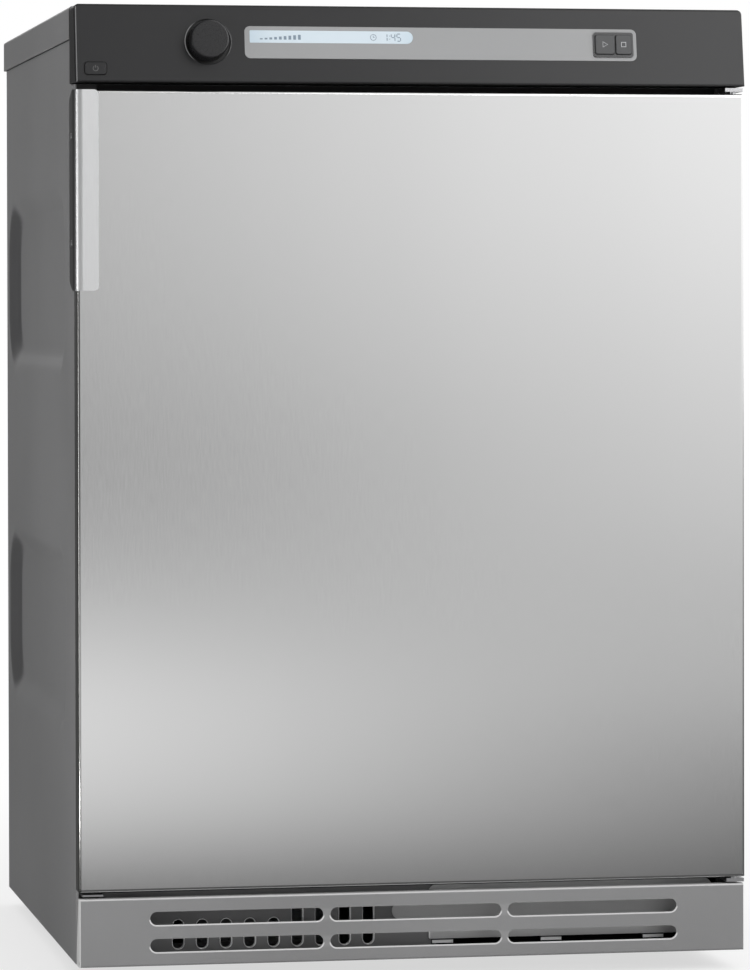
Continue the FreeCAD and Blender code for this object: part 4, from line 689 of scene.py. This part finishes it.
# ---- Drive ----
# One motor in two saddles turns both fans on its shaft and the drum through a long belt. The can is
# painted iron; the saddles, the idler and its arm are pressed steel, and the saddles' zinc is
# darkened as painted shade where the plinth's holes show it.
belt_ribs = 5
belt_thick = 3.0 * mm
belt_groove = 1.2 * mm
drum_radius = 270.0 * mm
drum_axis = Vector((0.0, 475.0 * mm))
motor_axis = Vector((-150.0 * mm, 118.0 * mm))
belt_on_drum = drum_radius + 0.3 * mm
belt_on_pulley = 9.3 * mm
can_radius = 58.0 * mm
fin_length = 118.0 * mm
fin_thick = 2.2 * mm
fin_tall = 4.0 * mm

motor_iron = moulded("motor_iron", (0.075, 0.078, 0.082), 0.48, 500.0)
dress(motor_iron, "motor")
# painted shade: the saddles' zinc is darkened
dress(zinc_coat("shaded_zinc", grey(0.16, 0.005), grey(0.26, 0.01)), "motor_cradle")
dress(zinc_steel, "tensioner_arm", "idler_pulley")
dress(shaft_steel, "motor_shaft")
dress(black_plastic, "process_fan", "cooling_fan", "fan_housing")

fin_tree, fin = node_tree("cooling_fins", Length="Float", Thick="Float", Tall="Float",
                          Middle="Vector")
size = fin["Length"].vector(fin["Thick"], fin["Length"], fin["Tall"])
rib = size.node("GeometryNodeMeshCube", inputs={"Size": size})
spot = rib.node("GeometryNodeInputPosition")
outward = spot.node("ShaderNodeVectorMath", {"operation": "SUBTRACT"}, {0: spot, 1: fin["Middle"]})
turn = outward.node("FunctionNodeAlignRotationToVector", {"axis": "Z", "pivot_axis": "Y"},
                    {"Vector": outward})
end_tree(fin_tree, placed(fin, rib, turn), fin["Finish"])
can_low, can_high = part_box("motor")
can_middle = (can_low.y + can_high.y) / 2
fin_places = [(motor_axis.x + can_radius * math.cos(math.radians(a)), can_middle,
               motor_axis.y + can_radius * math.sin(math.radians(a))) for a in range(-20, 201, 10)]
planted("motor_fins", fin_tree, fin_places, "cabinet", "motor_iron", Length=fin_length,
        Thick=fin_thick, Tall=fin_tall, Middle=(motor_axis.x, can_middle, motor_axis.y),
        Finish=motor_iron)

across_angle = math.atan2(motor_axis.y - drum_axis.y, motor_axis.x - drum_axis.x)
spread = math.acos((belt_on_drum - belt_on_pulley) / (motor_axis - drum_axis).length)
loop = [(drum_axis, belt_on_drum, a) for a in
        steps(across_angle + spread, across_angle - spread + 2 * math.pi, math.radians(2.5))]
loop += [(motor_axis, belt_on_pulley, a) for a in
         steps(across_angle - spread, across_angle + spread, math.radians(12.0))]
belt_low, belt_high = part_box("drive_belt")
rib_width = (belt_high.y - belt_low.y) / belt_ribs
section = [(belt_thick, belt_low.y), (belt_thick, belt_high.y)]
for index in range(belt_ribs):
    edge = belt_high.y - index * rib_width
    section += [(0.0, edge - 0.2 * rib_width), (0.0, edge - 0.5 * rib_width),
                (belt_groove, edge - 0.75 * rib_width)]
section = section[:-1] + [(0.0, belt_low.y)]
shape = bmesh.new()
rings = [[shape.verts.new((centre.x + (radius + lift) * math.cos(a), y,
                           centre.y + (radius + lift) * math.sin(a))) for lift, y in section]
         for centre, radius, a in loop]


def skinned(shape, rings, closed=True):
    """Faces between rings of points, each ring a closed outline."""
    pairs = list(zip(rings, rings[1:])) + ([(rings[-1], rings[0])] if closed else [])
    for first, second in pairs:
        for index in range(len(first)):
            after = (index + 1) % len(first)
            shape.faces.new((first[index], first[after], second[after], second[index]))
    bmesh.ops.recalc_face_normals(shape, faces=shape.faces)


def finished(name, shape, angle=35.0):
    return smoothed(plain(name, shape), angle)


skinned(shape, rings)
belt_rubber = moulded("belt_rubber", grey(0.020), 0.62, 800.0)
fit("ribbed_belt", finished("ribbed_belt", shape), belt_rubber, "cabinet", "belt_rubber",
    "drive_belt")


# ---- Drum ----
# Stainless shell rolled and seamed, with two beads and a faint honeycomb embossed in it, a
# pressed back with rings of air holes, moulded lifters, and its hub and shaft at the back.
drum_steel = Finish("drum_steel", grey(0.66, 0.01), 0.26, 1.0)
spot = drum_steel.place
angle = spot.axis(0).maths("ARCTAN2", spot.axis(2) - drum_axis.y)
wall = angle.vector(angle * drum_radius, spot.axis(1))
comb = wall.node("ShaderNodeTexVoronoi",
                 {"voronoi_dimensions": "2D", "feature": "DISTANCE_TO_EDGE"},
                 {"Vector": wall, "Scale": 42.0, "Randomness": 0.25})
streak = spot.stretched(900.0, 12.0, 900.0).noise(1.0, 3.0)
drum_steel.set("Base Color", streak.blend(grey(0.60, 0.01), grey(0.70, 0.01)))
drum_steel.set("Roughness", streak * 0.10 + 0.20)
drum_steel.bump(comb.smooth(0.0, 0.12), 0.5 * mm)
dress(drum_steel, "drum_shell")
dress(metal("disc_steel", grey(0.66, 0.01), 0.28, (700.0, 12.0, 700.0)), "drum_back")
dress(shaft_steel, "drum_shaft")
dress(zinc_steel, "bearing_bracket")
dress(moulded("lifter_plastic", (0.42, 0.43, 0.44), 0.42), "drum_lifters")
white_plastic = moulded("white_plastic", (0.66, 0.67, 0.67), 0.42)
dress(white_plastic, "support_roller_left", "support_roller_right")


# ---- Bulkhead, felt and door seal ----
# A moulded ring leads from the opening to the drum. A felt ring on its rim wipes the drum, and
# a soft rubber profile with two lips is pushed on round the opening for the door to close on.
def turned(name, profile, axis, segments=144, ripple=lambda a: 0.0):
    """A closed profile of (radius, y) turned about an axis along Y."""
    shape = bmesh.new()
    rings = []
    for index in range(segments):
        a = 2 * math.pi * index / segments
        rings.append([shape.verts.new((axis.x + (r + ripple(a)) * math.cos(a), y,
                                       axis.y + (r + ripple(a)) * math.sin(a)))
                      for r, y in profile])
    skinned(shape, rings)
    return finished(name, shape, 50.0)


dress(white_plastic, "front_bulkhead")

felt_low, felt_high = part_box("drum_felt")
felt_inner, felt_outer = 262.0 * mm, 268.2 * mm
felt_pad = 1.6 * mm
tuck = 0.35 * mm
felt_profile = [(felt_inner, felt_low.y), (felt_outer - felt_pad, felt_low.y),
                (felt_outer - 0.4 * mm, felt_low.y + 0.5 * mm),
                (felt_outer, felt_low.y + felt_pad), (felt_outer, felt_high.y - felt_pad),
                (felt_outer - 0.4 * mm, felt_high.y - 0.5 * mm),
                (felt_outer - felt_pad, felt_high.y), (felt_inner, felt_high.y)]
felt = Finish("felt", (0.42, 0.40, 0.36), 0.95, Sheen_Weight=0.4)
fibre = felt.place.noise(1500.0, 6.0, 0.8)
clump = felt.place.noise(160.0, 4.0, 0.6)
felt.set("Base Color", (fibre * 0.5 + clump * 0.5).blend((0.30, 0.28, 0.25), (0.52, 0.50, 0.46)))
felt.bump(fibre * 0.6 + clump * 0.4, 0.7 * mm)
fit("felt_ring", turned("felt_ring", felt_profile, drum_axis, 288,
                        lambda a: -tuck * abs(math.sin(24 * a)) ** 8),
    felt, "cabinet", "felt", "drum_felt")

seal_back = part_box("door_seal")[1].y
lips = ((208.0, 0.0), (207.6, 1.9), (205.8, 3.7), (203.4, 4.5), (200.8, 3.9), (199.2, 2.5),
        (197.8, 2.9), (196.2, 4.1), (194.4, 4.2), (192.8, 3.2), (192.1, 1.6), (192.0, 0.0))
seal_profile = [(r * mm, seal_back - lift * mm) for r, lift in lips]
seal_rubber = moulded("seal_rubber", grey(0.030, 0.001), 0.58, 600.0)
fit("lip_seal", turned("lip_seal", seal_profile, drum_axis), seal_rubber, "cabinet", "seal_rubber",
    "door_seal")


# ---- Lint filter ----
# A moulded frame with a grip that lifts out of the pocket under the opening. Its windows are
# covered by a woven screen, welded into the frame.
window_count = 3
window_rib = 6.0 * mm
wire_pitch = 2.0 * mm
wire_radius = 0.22 * mm
screen_off = 0.55 * mm  # wires' middle to the frame's middle plane
grip_height = 12.0 * mm

dress(black_plastic, "lint_filter")
wire_tree, wire = node_tree("wires", Radius="Float")
path = wire["Geometry"].node("GeometryNodeMeshToCurve", inputs={0: wire["Geometry"]})
round_wire = path.node("GeometryNodeCurvePrimitiveCircle", inputs={
    "Resolution": 4, "Radius": wire["Radius"]})
path = path.node("GeometryNodeCurveToMesh", inputs={"Curve": path, "Profile Curve": round_wire,
                                                    "Fill Caps": True})
end_tree(wire_tree, path, wire["Finish"])
low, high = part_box("lint_filter")
frame_top = high.z - grip_height
window_width = (high.x - low.x - window_rib * (window_count + 1)) / window_count
ends = []
for index in range(window_count):
    x0 = low.x + window_rib + index * (window_width + window_rib)
    z0, z1 = low.z + window_rib, frame_top - window_rib
    for side in (-1, 1):
        y = (low.y + high.y) / 2 + side * screen_off
        ends += [((x, y, z0), (x, y, z1)) for x in steps(x0, x0 + window_width, wire_pitch)]
        ends += [((x0, y, z), (x0 + window_width, y, z)) for z in steps(z0, z1, wire_pitch)]
spots = [spot for pair in ends for spot in pair]
pairs = [(index, index + 1) for index in range(0, len(spots), 2)]
screen_steel = metal("screen_steel", (0.50, 0.51, 0.52), 0.38, (600.0, 600.0, 600.0))
planted("filter_screen", wire_tree, spots, "filter", "shaft_steel", pairs,
        Radius=wire_radius, Finish=screen_steel)


# ---- Air duct, heat exchanger and services ----
# The hot-air duct is zinc-coated sheet behind the drum. The exchanger is a block of pressed
# aluminium plates in a black channel, painted black in front as painted shade; pump, hose tail and
# terminal box are moulded.
dress(zinc_steel, "rear_duct")
dress(black_plastic, "exchanger_housing", "drain_pump", "drain_spigot", "terminal_box")
plate_pitch = 3.2 * mm
fins_bare, fins_shaded = 70.0 * mm, 50.0 * mm  # behind the door's front
fins = Finish("fin_alloy", (0.72, 0.73, 0.74), 0.35, 1.0)
fins.bump((fins.place.axis(2) * (2 * math.pi / plate_pitch)).maths("SINE"), 0.5 * mm)
fins.set("Base Color", fins.place.noise(40.0).blend((0.62, 0.63, 0.64), (0.78, 0.79, 0.80)))
# painted shade: the fins go black towards the front
fins.fade(1, door_front + fins_bare, door_front + fins_shaded, shade_black)
dress(fins, "heat_exchanger")
dress(moulded("board_green", (0.03, 0.14, 0.06), 0.40), "control_board")
low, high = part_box("terminal_box")
screws("terminal_screws", [(low.x + 7.0 * mm, high.y, high.z - 7.0 * mm),
                           (high.x - 7.0 * mm, high.y, high.z - 7.0 * mm)],
       faces_back, "cabinet", 2.6 * mm, 0.9 * mm)


# ---- Door ----
# A shallow tray of stainless steel, brushed from top to bottom, with a painted dark reflection at
# its left bend, closed behind by a moulded liner with a dished black cover. It hangs on pins at its
# right corners.
brushed = Finish("brushed_steel", grey(0.80), 0.17, 1.0, Anisotropic=0.8)
hair = brushed.place.stretched(900.0, 900.0, 70.0).noise(1.0, 3.0, 0.6)
broad = brushed.place.stretched(9.0, 9.0, 1.2).noise(1.0, 3.0)
brushed.set("Base Color", (hair * 0.7 + broad * 0.3).blend(grey(0.75), grey(0.84)))
# painted dark reflection along the door's left bend
skin_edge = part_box("door_skin")[0].x
brushed.fade(0, skin_edge + 3.2 * mm, skin_edge + 1.6 * mm, grey(0.25, -0.005))
brushed.set("Roughness", hair * 0.08 + 0.13)
brushed.bump(hair, 0.003 * mm)
dress(brushed, "door_skin")
dress(white_plastic, "door_liner", "door_catch")
dress(moulded("dish_plastic", grey(0.030, 0.002), 0.22), "door_dish")
dress(shaft_steel, "handle_screws", "latch_tongue", "hinge_cups", "hinge_arms")
liner_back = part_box("door_liner")[1].y
screws("liner_screws", rows((-280.0, 280.0), liner_back, (100.0, 250.0, 620.0, 757.0))
       + rows((-95.0, 95.0), liner_back, (96.0, 762.0)), faces_back, "door", 3.2 * mm, 1.1 * mm)


# ---- Handle ----
# An aluminium strip bent round the door's left edge, blasted and lacquered, with tapered ends and
# two screws through its side flange, and a painted dark reflection on its left side.
handle_alloy = metal("handle_alloy", (0.78, 0.785, 0.79), 0.40, (1400.0, 1400.0, 60.0))
# painted dark reflection on the handle's left side
handle_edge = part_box("door_handle")[0].x
handle_alloy.fade(0, handle_edge + 3.6 * mm, handle_edge + 2.0 * mm, grey(0.26, 0.005))
dress(handle_alloy, "door_handle")


# ---- Plinth and what is behind it ----
# A folded panel with two rows of three long slots, hinged low down; its paint carries painted
# highlights on the top and left edges, the slots' lower rims and the webs between slots. Behind it
# stand a dark grille with upright collared holes and the grey cover of the heat exchanger, with
# painted highlights on its tabs and left edge and painted shade behind its front.
plinth_low, plinth_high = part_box("plinth_panel")
slot_lows = (29.5 * mm, 53.0 * mm)
slot_height = 11.5 * mm
slot_row = 468.4 * mm
slot_bridge = 6.3 * mm
slot_pitch = (slot_row + slot_bridge) / 3
slot_reach = (slot_pitch - slot_bridge - slot_height) / 2  # slot's middle to its rounded end
rim_end = slot_row / 2 + 2.4 * mm
plinth_paint = powder_coat("plinth_paint", grey(0.215, 0.002))
spot = plinth_paint.place
height = spot.axis(2)
along = spot.axis(0)
# painted highlights: top and left edges, then the slots' lower rims and the webs between slots
rim_highlight = height.near(plinth_high.z, 1.6 * mm).highest(along.near(plinth_low.x, 1.2 * mm))
from_slot = (along - (along / slot_pitch).maths("ROUND") * slot_pitch).size()
past_end = (from_slot - slot_reach).highest(0.0)
in_row = along.size().smooth(rim_end, rim_end - 1.0 * mm)
for slot_low in slot_lows:
    slot_middle = slot_low + slot_height / 2
    drop = slot_middle - height
    outside = (past_end * past_end + drop * drop).maths("SQRT") - slot_height / 2
    rim_highlight = rim_highlight.highest(outside.near(0.5 * mm, 0.9 * mm) * drop.smooth(0.0, 2.5 * mm) * in_row)
    for x in (-slot_pitch / 2, slot_pitch / 2):
        web = along.near(x, 7.0 * mm) * height.near(slot_middle, slot_height * 0.55)
        rim_highlight = rim_highlight.highest(web * 0.08)
plinth_paint.paint(rim_highlight, grey(0.60))
dress(plinth_paint, "plinth_panel")
dress(powder_coat("vent_paint", grey(0.150, 0.002)), "vent_panel")

hatch_edge = 16.0 * mm
tab_top = 30.8 * mm  # below this the hatch's tabs get a painted highlight
edge_top = 42.0 * mm  # and below this its left edge does
hatch_paint = powder_coat("hatch_paint", grey(0.40, 0.002))
spot = hatch_paint.place
hatch_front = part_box("exchanger_hatch")[0].y
# painted highlights on the hatch's tabs and left edge
edge_highlight = (spot.axis(0).near(hatch_edge, 1.6 * mm)
               * spot.axis(2).smooth(edge_top + 3.0 * mm, edge_top))
hatch_highlight = spot.axis(2).smooth(tab_top + 0.4 * mm, tab_top).highest(edge_highlight)
hatch_paint.paint(hatch_highlight, grey(0.85))
# painted shade: black behind the hatch's front face
hatch_paint.fade(1, hatch_front + 0.4 * mm, hatch_front + 0.8 * mm, grey(0.01))
dress(hatch_paint, "exchanger_hatch")

collar_wall = 0.6 * mm
collar_reach = 7.0 * mm
hole_width = 11.2 * mm
hole_low = 27.5 * mm
hole_pitch = 21.05 * mm
hole_first = -206.1 * mm
short_top, tall_top = 54.2 * mm, 71.0 * mm
collar_tree, ring = node_tree("collars", Width="Float", Height="Float", Wall="Float", Reach="Float")
edge = ring["Width"].node("GeometryNodeCurvePrimitiveQuadrilateral", inputs={
    "Width": ring["Width"], "Height": ring["Height"]})
edge = edge.node("GeometryNodeFilletCurve", {"mode": "POLY"}, {
    "Curve": edge, "Count": 8, "Radius": ring["Width"] * 0.5, "Limit Radius": True})
lip = edge.node("GeometryNodeCurvePrimitiveQuadrilateral", inputs={
    "Width": ring["Wall"], "Height": ring["Reach"]})
band = edge.node("GeometryNodeCurveToMesh", inputs={"Curve": edge, "Profile Curve": lip})
end_tree(collar_tree, placed(ring, band, faces_front), ring["Finish"])
# light grey collars, painted lighter still as painted light on the holes' inner walls
collar_lit_paint = powder_coat("collar_lit_paint", grey(0.80))
grille_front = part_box("vent_panel")[0].y + 0.3 * mm
for name, top, holes in (("collars_short", short_top, range(5)),
                         ("collars_tall", tall_top, range(5, 9))):
    places = [(hole_first + index * hole_pitch, grille_front + collar_reach / 2,
               (hole_low + top) / 2) for index in holes]
    planted(name, collar_tree, places, "cabinet", "vent_paint", Width=hole_width - collar_wall,
            Height=top - hole_low - collar_wall, Wall=collar_wall, Reach=collar_reach,
            Finish=collar_lit_paint)


# ---- Control fascia ----
# Injection-moulded panel in anthracite whose front leans back, clipped to the front bar. The light
# strip, the display window and the key bezel are let into it. Its paint grows lighter to the right
# as painted light, has a painted highlight on the left bevel, and is black as painted shade in the
# knob's hollow, round the power key and along the top edge.
fascia_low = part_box("fascia")[0].z
lean = math.atan2(11.0, 68.0)
bevel_left = -295.9 * mm
bevel_fade, bevel_full = 14.0 * mm, 13.0 * mm  # behind the door's front
fascia_top = 848.8 * mm
knob_x, knob_rise = -180.9, 35.8  # in mm; the rise is above the fascia's foot
hollow_size = 40.9
key_slot = (20.7, 12.6, 3.6)  # round the power key: width, height, corner


def within(place, x, z, width, height, corner):
    """1 inside an upright rounded rectangle about a place on the leaning face, in mm."""
    over_x = (place.axis(0) - x * mm).size() - (width / 2 - corner) * mm
    over_z = (place.axis(2) - z * mm).size() / math.cos(lean) - (height / 2 - corner) * mm
    over_x, over_z = over_x.highest(0.0), over_z.highest(0.0)
    return (over_x * over_x + over_z * over_z) * 1e6 < corner * corner


fascia_plastic = moulded("fascia_plastic", grey(0.013, 0.001), 0.44, Specular_IOR_Level=0.34)
spot = fascia_plastic.place
# painted light: the face grows lighter towards the right
fascia_plastic.paint(spot.axis(0).smooth(-0.10, 0.30), grey(0.030, 0.001))
# painted highlight along the left bevel
bevel_highlight = (spot.axis(0).near(bevel_left, 0.6 * mm)
         * spot.axis(1).smooth(door_front + bevel_fade, door_front + bevel_full))
fascia_plastic.paint(bevel_highlight, grey(0.16, 0.003))
# painted shade along the top edge
fascia_plastic.paint(spot.axis(2).near(fascia_top, 0.8 * mm), grey(0.006))
low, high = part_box("power_key")
power = (low + high) / 2 / mm
# painted shade in the knob's hollow and round the power key
hollow_shade = within(spot, knob_x, fascia_low / mm + knob_rise, hollow_size, hollow_size,
                hollow_size / 2)
fascia_plastic.paint(hollow_shade + within(spot, power.x, power.z, *key_slot), grey(0.003))
dress(fascia_plastic, "fascia")
dress(moulded("strip_plastic", (0.285, 0.288, 0.291), 0.42), "display_strip")
dress(moulded("bezel_plastic", grey(0.016, 0.002), 0.32), "key_bezel")


def on_fascia(mesh, x, rise):
    """Put a mesh drawn about the origin, facing -Y, on the leaning face."""
    place = (x * mm, door_front + rise * mm * math.tan(lean), fascia_low + rise * mm)
    mesh.transform(Matrix.Translation(place) @ Matrix.Rotation(-lean, 4, "X"))
    return mesh


def printed(name, strokes, proud, thick=0.20):
    """Flat marks: each stroke a list of (x, z) and a width, as thin raised bands."""
    shape = bmesh.new()
    for line, width, closed in strokes:
        count = len(line)
        rings = []
        for index, (px, pz) in enumerate(line):
            before = line[index - 1] if closed or index else line[0]
            after = line[(index + 1) % count] if closed or index < count - 1 else line[-1]
            along = Vector((after[0] - before[0], after[1] - before[1])).normalized()
            side = Vector((-along.y, along.x)) * width / 2
            rings.append([shape.verts.new((vx * mm, -vy * mm, vz * mm)) for vx, vy, vz in (
                (px + side.x, proud, pz + side.y), (px - side.x, proud, pz - side.y),
                (px - side.x, proud - thick, pz - side.y),
                (px + side.x, proud - thick, pz + side.y))])
        skinned(shape, rings, closed)
        if not closed:
            shape.faces.new(rings[0])
            shape.faces.new(rings[-1][::-1])
    bmesh.ops.recalc_face_normals(shape, faces=shape.faces)
    return finished(name, shape, 20.0)


def arc(radius, start, stop, x=0.0, count=28):
    """Points of (x, z) on an arc, in degrees from the right."""
    turns = [math.radians(start + (stop - start) * i / count) for i in range(count + 1)]
    return [(x + radius * math.cos(a), radius * math.sin(a)) for a in turns]


# ---- Display ----
# A pale window behind a clear hard coat, with its backlight painted in its colour, brightest in its
# middle, and with the dark segments of a clock and a row of bars.
window_low, window_high = (0.50, 0.61, 0.69), (0.62, 0.70, 0.76)
painted_backlight = Finish("window_plastic", window_low, 0.16)
low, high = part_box("display_window")
# painted light: the window is lighter in its middle, for its backlight
level = painted_backlight.place.axis(0).near((low.x + high.x) / 2, (high.x - low.x) * 0.62)
mottle = painted_backlight.place.noise(60.0, 2.0)
painted_backlight.set("Base Color", (level * 0.9 + mottle * 0.1).blend(window_low, window_high))
dress(painted_backlight, "display_window")
segment_ink = moulded("segment_ink", (0.18, 0.24, 0.30), 0.35)
digit_height, digit_width, digit_step = 6.4, 3.2, 5.0  # in mm, as all the marks' places
digits_left, colon_x, clock_x = 46.0, 51.6, 37.0  # from the window's middle
bars_left, bars_low, bar_step = -62.0, -2.6, 4.2
segment_gap = 0.12  # share of a segment left off at each end
segments = {"a": ((0, 1), (1, 1)), "b": ((1, 0.5), (1, 1)), "c": ((1, 0), (1, 0.5)),
            "d": ((0, 0), (1, 0)), "f": ((0, 0.5), (0, 1)), "g": ((0, 0.5), (1, 0.5))}
shown = {"1": "bc", "4": "bcfg", "5": "acdfg"}
strokes = []
for column, digit in ((0, "1"), (1.4, "4"), (2.4, "5")):
    for key in shown[digit]:
        (u0, v0), (u1, v1) = segments[key]
        ends = [(digits_left + column * digit_step + u * digit_width, (v - 0.5) * digit_height)
                for u, v in ((u0 + (u1 - u0) * share, v0 + (v1 - v0) * share)
                             for share in (segment_gap, 1 - segment_gap))]
        strokes.append((ends, 0.75, False))
strokes += [([(colon_x, z - 0.35), (colon_x, z + 0.35)], 0.7, False) for z in (-1.4, 1.4)]
for bar in range(9):
    x = bars_left + bar_step * bar
    strokes.append(([(x, bars_low), (x, bars_low + 1.0 + 0.42 * bar)], 2.4, False))
strokes += [(arc(2.6, 90, 450, x=clock_x)[:-1], 0.5, True),
            ([(clock_x, 1.6), (clock_x, 0.0)], 0.5, False),
            ([(clock_x - 0.2, 0.0), (clock_x + 1.2, 0.0)], 0.5, False)]


def marks(name, node, strokes, proud, ink, body, slot):
    """Printed marks in front of a node's middle, this far proud of the leaning face."""
    low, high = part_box(node)
    rise = ((low.z + high.z) / 2 - fascia_low) / mm
    fit(name, on_fascia(printed(name, strokes, proud), (low.x + high.x) / 2 / mm, rise),
        ink, body, slot)


marks("segments", "display_window", strokes, 0.50, segment_ink, "cabinet", "bezel_plastic")


# ---- Keys ----
# Start and stop in a dark bezel, and the power key low on the left: moulded keys with pad
# printed signs, each with a short travel. The power key's sign is a dim grey.
dress(moulded("key_plastic", (0.045, 0.046, 0.048), 0.45), "start_key", "stop_key")
dress(moulded("power_plastic", grey(0.013, 0.001), 0.44, Specular_IOR_Level=0.34), "power_key")
white_print = moulded("white_print", (0.62, 0.63, 0.64), 0.50)
grey_print = moulded("grey_print", grey(0.12), 0.50)
key_proud, power_proud = 3.26, 0.86  # in mm, to the print's face

triangle = [(-1.9, -2.4), (2.4, 0.0), (-1.9, 2.4)]
square = [(-2.0, -2.0), (2.0, -2.0), (2.0, 2.0), (-2.0, 2.0)]
power_lines = [(arc(2.2, 125, 415), 0.45, False), ([(0.0, 0.6), (0.0, 2.9)], 0.45, False)]
for name, node, strokes, proud, ink, body in (
        ("start_sign", "start_key", [(triangle, 0.5, True)], key_proud, white_print, "start"),
        ("stop_sign", "stop_key", [(square, 0.5, True)], key_proud, white_print, "stop"),
        ("power_sign", "power_key", power_lines, power_proud, grey_print, "power")):
    marks(name, node, strokes, proud, ink, body, "strip_plastic")


# ---- Knob ----
# A turned cap in black plastic over a shallow recess. The ring round the recess is glossy black,
# with painted highlights on its left and right.
ring_middle = 20.2 * mm
dress(moulded("knob_plastic", grey(0.011, 0.001), 0.28, Specular_IOR_Level=0.40), "knob")
ring_profile = [(19.8 * mm, 0.3 * mm), (19.8 * mm, -0.05 * mm), (20.2 * mm, -0.30 * mm),
                (20.5 * mm, -0.25 * mm), (20.7 * mm, 0.3 * mm)]
knob_ring = turned("knob_ring", ring_profile, Vector((0.0, 0.0)), 96)
ring_highlighted = moulded("ring_highlighted", grey(0.014, 0.001), 0.22, 1400.0, 0.0)
offset = (ring_highlighted.place.axis(0) - knob_x * mm) / ring_middle
# painted highlights on the ring's left and right
ring_highlighted.paint(offset.smooth(-0.45, -0.95) + offset.smooth(0.60, 1.0) * 0.35, grey(0.30, 0.005))
fit("knob_ring", on_fascia(knob_ring, knob_x, knob_rise), ring_highlighted, "cabinet", "bezel_plastic")
